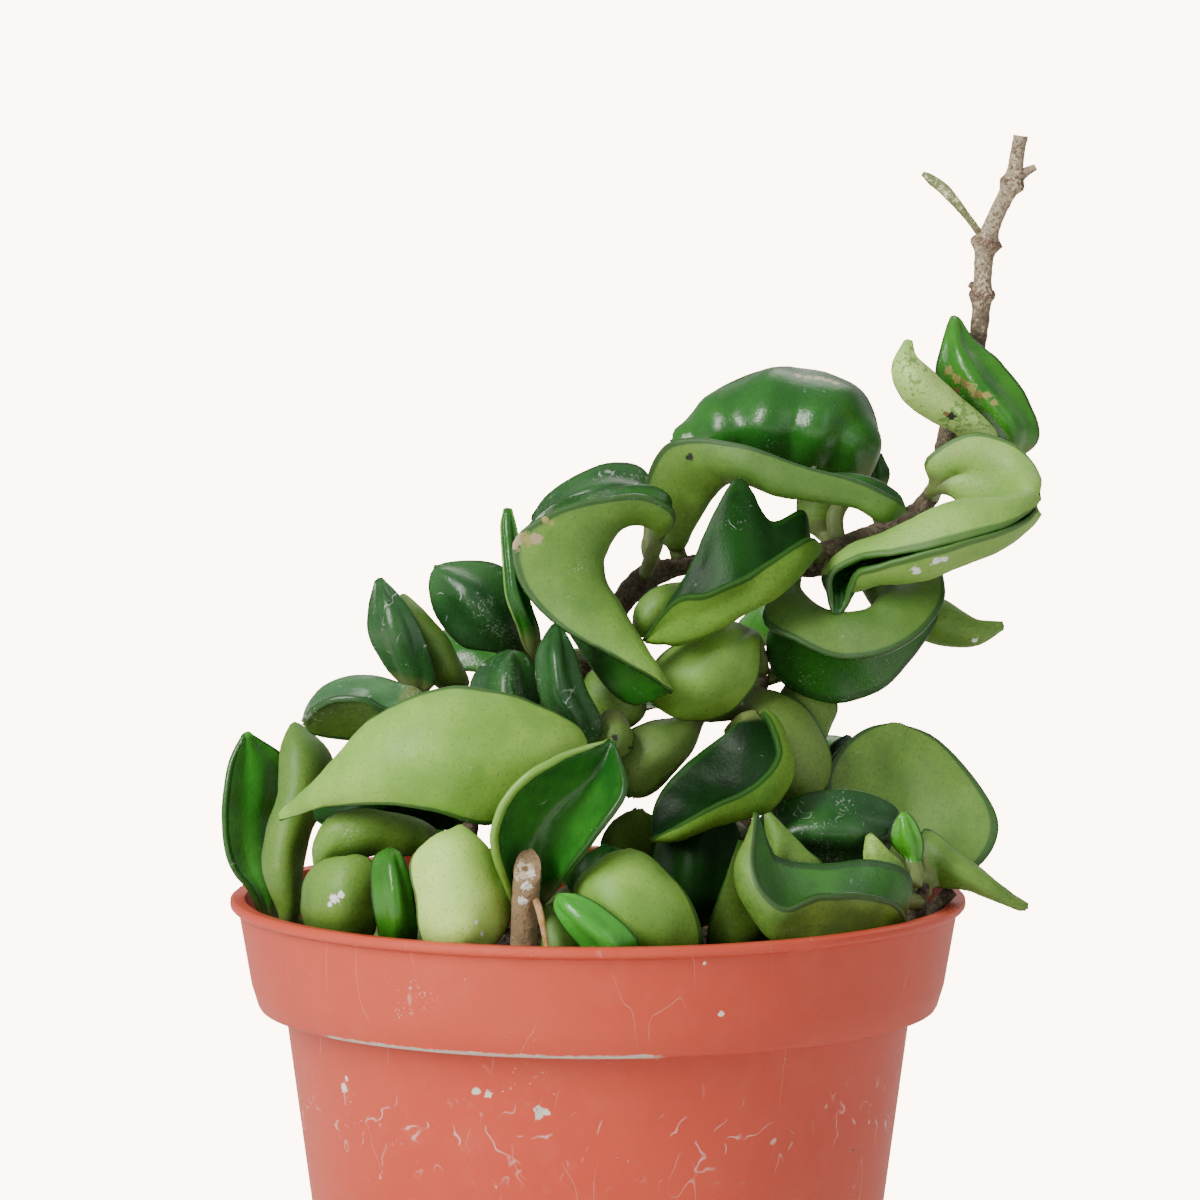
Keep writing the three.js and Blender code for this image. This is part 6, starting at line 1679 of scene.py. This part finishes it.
@dataclass(frozen=True)
class PotSize:
    """The pot's profile and its drain holes, in millimetres."""

    profile: tuple[tuple[float, float], ...] = (
        (0, 0), (34, 0), (34.6, 0.25), (35, 0.9), (44.6, 73.3), (44.75, 73.75), (45.1, 73.95), (47.8, 74.1),
        (48.3, 74.3), (48.6, 74.8), (49.5, 77.7), (49.6, 78.3), (51.3, 88.2), (51.7, 88.45), (52.2, 88.55),
        (52.45, 88.85), (52.5, 89.2), (52.45, 89.7), (52.1, 90), (50.75, 90), (50.4, 89.85), (50.2, 89.4),
        (48.5, 78), (47.3, 75.3), (43.5, 74.6), (34.1, 1.6), (0, 1.6),
    )
    segments: int = 192
    longest: float = 12.0
    drains: int = 5
    drain_radius: float = 3.2
    drain_circle: float = 20.0
    drain_turn: float = 0.3
    drain_depth: float = 6.0
    drain_segments: int = 40


def close_rings(bm: BMesh, rings: list[Ring]) -> None:
    """Joins rings of points by faces.

    Args:
        bm: The bmesh.
        rings: The rings in order, where a ring of one point is a pole.
    """
    for a, b in zip(rings, rings[1:]):
        for i in range(max(len(a), len(b))):
            k = (i + 1) % max(len(a), len(b))
            if len(a) == 1:
                bm.faces.new((a[0], b[i], b[k]))
            elif len(b) == 1:
                bm.faces.new((a[k], a[i], b[0]))
            else:
                bm.faces.new((a[i], b[i], b[k], a[k]))


@dataclass
class Pot:
    """The plastic nursery pot."""

    materials: Materials
    size: PotSize = PotSize()

    def _turned(self) -> Mesh:
        """The turned shape, with long straight runs divided so that the wall shades evenly."""
        s = self.size
        fine = [s.profile[0]]
        for a, b in zip(s.profile, s.profile[1:]):
            count = max(1, int(math.dist(a, b) / s.longest))
            fine += [tuple(p + (q - p) * i / count for p, q in zip(a, b)) for i in range(1, count + 1)]
        bm = bmesh.new()
        rings = []
        for r, z in fine:
            angles = [2 * math.pi * i / s.segments for i in range(s.segments)] if r else [0.0]
            rings.append([bm.verts.new((r * MM * math.cos(a), r * MM * math.sin(a), z * MM)) for a in angles])
        close_rings(bm, rings)
        return mesh_of(bm, "pot")

    def _cutters(self) -> Mesh:
        """The round bars that cut the drain holes."""
        s = self.size
        bm = bmesh.new()
        for k in range(s.drains):
            angle = 2 * math.pi * k / s.drains + s.drain_turn
            bar = bmesh.ops.create_cone(
                bm, cap_ends=True, segments=s.drain_segments, radius1=s.drain_radius * MM,
                radius2=s.drain_radius * MM, depth=s.drain_depth * MM,
            )
            away = Vector((math.cos(angle), math.sin(angle), 0)) * s.drain_circle * MM
            bmesh.ops.translate(bm, verts=bar["verts"], vec=away)
        return mesh_of(bm, "drain_cutter")

    def build(self) -> None:
        """Makes the pot with its drain holes."""
        body = new_object("nursery_pot", self._turned())
        cutter = new_object("drain_cutter", self._cutters())
        cut = body.modifiers.new("drains", "BOOLEAN")
        cut.operation, cut.solver, cut.object = "DIFFERENCE", "EXACT", cutter
        mesh = bpy.data.meshes.new_from_object(body.evaluated_get(bpy.context.evaluated_depsgraph_get()))
        body.modifiers.remove(cut)
        body.data = mesh
        bpy.data.objects.remove(cutter)
        mesh.polygons.foreach_set("use_smooth", [True] * len(mesh.polygons))
        mesh.set_sharp_from_angle(angle=math.radians(40))
        mesh.materials.append(self.materials.pot(spots_on("pot", mesh)))
        finish_piece(body, "pot")


@dataclass(frozen=True)
class Litter:
    """A kind of loose bit on the soil: how many there are, their mean size in millimetres and their seed."""

    name: str
    count: int
    length: float
    width: float
    height: float
    seed: int


@dataclass(frozen=True)
class SoilSize:
    """The potting mix, in millimetres, and how much lies loose on it."""

    top: float = 78.8
    top_radius: float = 47.25
    sides: tuple[tuple[float, float], ...] = ((47.25, 77.6), (46.6, 75.8), (43.2, 74.3), (33.6, 1.95))
    bottom: float = 1.95
    swell: float = 0.6
    rings: int = 70
    segments: int = 200
    reach: float = 44.5
    lowest: float = 77.5
    chips: Litter = Litter("chips", 700, 3.0, 1.7, 0.9, 5)
    grit: Litter = Litter("grit", 2600, 1.3, 1.0, 0.8, 9)


def scatter_tree() -> NodeTree:
    """The geometry nodes that scatter turned, uneven bits over the upper side of a mesh."""
    given = {
        "Ground": "NodeSocketGeometry", "Per Square Metre": 1.0e5, "Length": 0.002, "Width": 0.001,
        "Height": 0.0005, "Reach": 0.044, "Lowest": 0.0775, "Seed": 5, "Finish": "NodeSocketMaterial",
    }
    tree, n, i, o = new_group("scatter", given, {"Bits": "NodeSocketGeometry"}, "GeometryNodeTree")
    x, y, z = n.apart(n.add("GeometryNodeInputPosition").outputs[0])
    away = n.math("SQRT", n.plus(n.math("POWER", x, 2.0), n.math("POWER", y, 2.0)))
    chosen = n.times(n.math("LESS_THAN", away, i["Reach"]), n.math("GREATER_THAN", z, i["Lowest"]))
    points = n.add("GeometryNodeDistributePointsOnFaces", {
        "Mesh": i["Ground"], "Density": i["Per Square Metre"], "Selection": chosen, "Seed": i["Seed"],
    })
    bit = n.add("GeometryNodeMeshIcoSphere", {"Radius": 0.5, "Subdivisions": 1}).outputs["Mesh"]
    size = n.add("ShaderNodeCombineXYZ", {0: i["Length"], 1: i["Width"], 2: i["Height"]}).outputs[0]
    shaped = n.add("GeometryNodeTransform", {"Geometry": bit, "Scale": size}).outputs[0]
    turned = {"Min": (-0.5, -0.5, 0.0), "Max": (0.5, 0.5, 6.283), "Seed": i["Seed"]}
    varied = {"Min": (0.5, 0.5, 0.5), "Max": (1.5, 1.4, 1.3), "Seed": n.plus(i["Seed"], 11.0)}
    turn, grow = (
        n.add("FunctionNodeRandomValue", limits, data_type="FLOAT_VECTOR").outputs[0]
        for limits in (turned, varied)
    )
    placed = n.add("GeometryNodeInstanceOnPoints", {
        "Points": points.outputs["Points"], "Instance": shaped, "Rotation": turn, "Scale": grow,
    })
    n.put(o["Bits"], dressed(n, placed.outputs[0], i["Finish"]))
    return tree


@dataclass
class Soil:
    """The potting mix with its bark chips and grit."""

    materials: Materials
    size: SoilSize = SoilSize()

    def _height(self, x: float, y: float) -> float:
        """The height of the soil's uneven top.

        Args:
            x: A place's x, in millimetres.
            y: Its y.

        Returns:
            The height, in millimetres.
        """
        bump = 0.5 * math.sin(0.34 * x + 1.3) * math.cos(0.41 * y) + 0.5 * math.sin(0.83 * x - 0.67 * y)
        crumb = noise.fractal(Vector((x * 0.35, y * 0.35, 4.0)), 0.8, 2.0, 4)
        return self.size.top + self.size.swell * (1 + bump) + self.size.swell * crumb

    def _ring(self, bm: BMesh, radius: float, level: Optional[float] = None) -> Ring:
        """A ring of points.

        Args:
            bm: The bmesh.
            radius: The ring's radius, in millimetres.
            level: Its height, or None on the soil's top.

        Returns:
            The points.
        """
        ring = []
        for i in range(self.size.segments):
            angle = 2 * math.pi * i / self.size.segments
            x, y = radius * math.cos(angle), radius * math.sin(angle)
            z = self._height(x, y) if level is None else level
            ring.append(bm.verts.new((x * MM, y * MM, z * MM)))
        return ring

    def build(self) -> None:
        """Makes the soil, with the chips and the grit that lie on it."""
        s = self.size
        bm = bmesh.new()
        rings = [[bm.verts.new((0, 0, self._height(0, 0) * MM))]]
        rings += [self._ring(bm, s.top_radius * r / s.rings) for r in range(1, s.rings + 1)]
        rings += [self._ring(bm, radius, level) for radius, level in s.sides]
        rings.append([bm.verts.new((0, 0, s.bottom * MM))])
        close_rings(bm, rings)
        ground = mesh_of(bm, "soil", self.materials.soil)
        tree = scatter_tree()
        area = math.pi * (s.top_radius * MM) ** 2
        loose = []
        for kind, finish in ((s.chips, self.materials.chips), (s.grit, self.materials.soil)):
            values = {
                "Per Square Metre": kind.count / area, "Length": kind.length * MM, "Width": kind.width * MM,
                "Height": kind.height * MM, "Reach": s.reach * MM, "Lowest": s.lowest * MM, "Seed": kind.seed,
                "Finish": finish,
            }
            loose.append(grown(tree, ground.copy(), kind.name, values))
        finish_piece(new_object("potting_mix", joined("soil", ground, *loose)), "soil")


@dataclass(frozen=True)
class Lamp:
    """A soft rectangular lamp aimed at the plant."""

    name: str
    place: Point
    size: tuple[float, float]
    power: float
    colour: Colour


LAMPS = (
    Lamp("key", (-0.85, -0.85, 0.9), (0.3, 1.1), 35.0, (1.0, 0.98, 0.95)),
    Lamp("fill", (0.9, -0.9, 0.6), (0.5, 1.2), 2.8, (0.97, 0.98, 1.0)),
    Lamp("back", (0.3, 0.9, 1.1), (0.8, 0.8), 5.0, (1.0, 0.98, 0.95)),
)
AIM: Point = (0.0, 0.0, 0.11)
FLOOR_HALF = 40.0
FLOOR_LEVEL = -0.0002
SKY: Colour = (1.0, 0.975, 0.95)
SKY_STRENGTH = 0.48


@dataclass
class Studio:
    """The floor, the lights and the camera."""

    materials: Materials

    def build(self) -> None:
        """Lays the floor, hangs the lights and sets the camera."""
        bm = bmesh.new()
        bmesh.ops.create_grid(bm, x_segments=1, y_segments=1, size=FLOOR_HALF)
        floor = new_object("floor", mesh_of(bm, "floor", self.materials.floor))
        floor.location = (0.0, 0.0, FLOOR_LEVEL)
        for lamp in LAMPS:
            self._light(lamp)
        world = bpy.data.worlds.new("studio")
        world.use_nodes = True
        background = world.node_tree.nodes["Background"].inputs
        background["Color"].default_value = (*SKY, 1.0)
        background["Strength"].default_value = SKY_STRENGTH
        bpy.context.scene.world = world
        data = bpy.data.cameras.new("camera")
        data.lens, data.sensor_width, data.clip_start, data.clip_end = LENS_MM, SENSOR_MM, 0.05, 100.0
        camera = bpy.data.objects.new("camera", data)
        camera.location = ((EYE[0] + CAMERA_X_MM) * MM, EYE[1] * MM, EYE[2] * MM)
        camera.rotation_euler = (math.radians(90 - CAMERA_PITCH_DEG), 0.0, 0.0)
        bpy.context.scene.collection.objects.link(camera)
        bpy.context.scene.camera = camera

    @staticmethod
    def _light(lamp: Lamp) -> None:
        """Hangs one lamp.

        Args:
            lamp: The lamp.
        """
        data = bpy.data.lights.new(lamp.name, "AREA")
        data.shape = "RECTANGLE"
        data.size, data.size_y = lamp.size
        data.energy, data.color = lamp.power, lamp.colour
        hung = bpy.data.objects.new(lamp.name, data)
        hung.location = lamp.place
        hung.rotation_euler = (Vector(AIM) - Vector(lamp.place)).to_track_quat("-Z", "Y").to_euler()
        bpy.context.scene.collection.objects.link(hung)


def main() -> None:
    """Builds the object from the pot up."""
    logging.basicConfig(level=logging.INFO, format="%(message)s")
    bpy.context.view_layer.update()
    materials = Materials(Groups())
    vines = Vines(materials)
    Pot(materials).build()
    Soil(materials).build()
    vines.build()
    Foliage(materials, vines).build()
    BackSprays(materials, vines).build()
    Studio(materials).build()


if __name__ == "__main__":
    main()
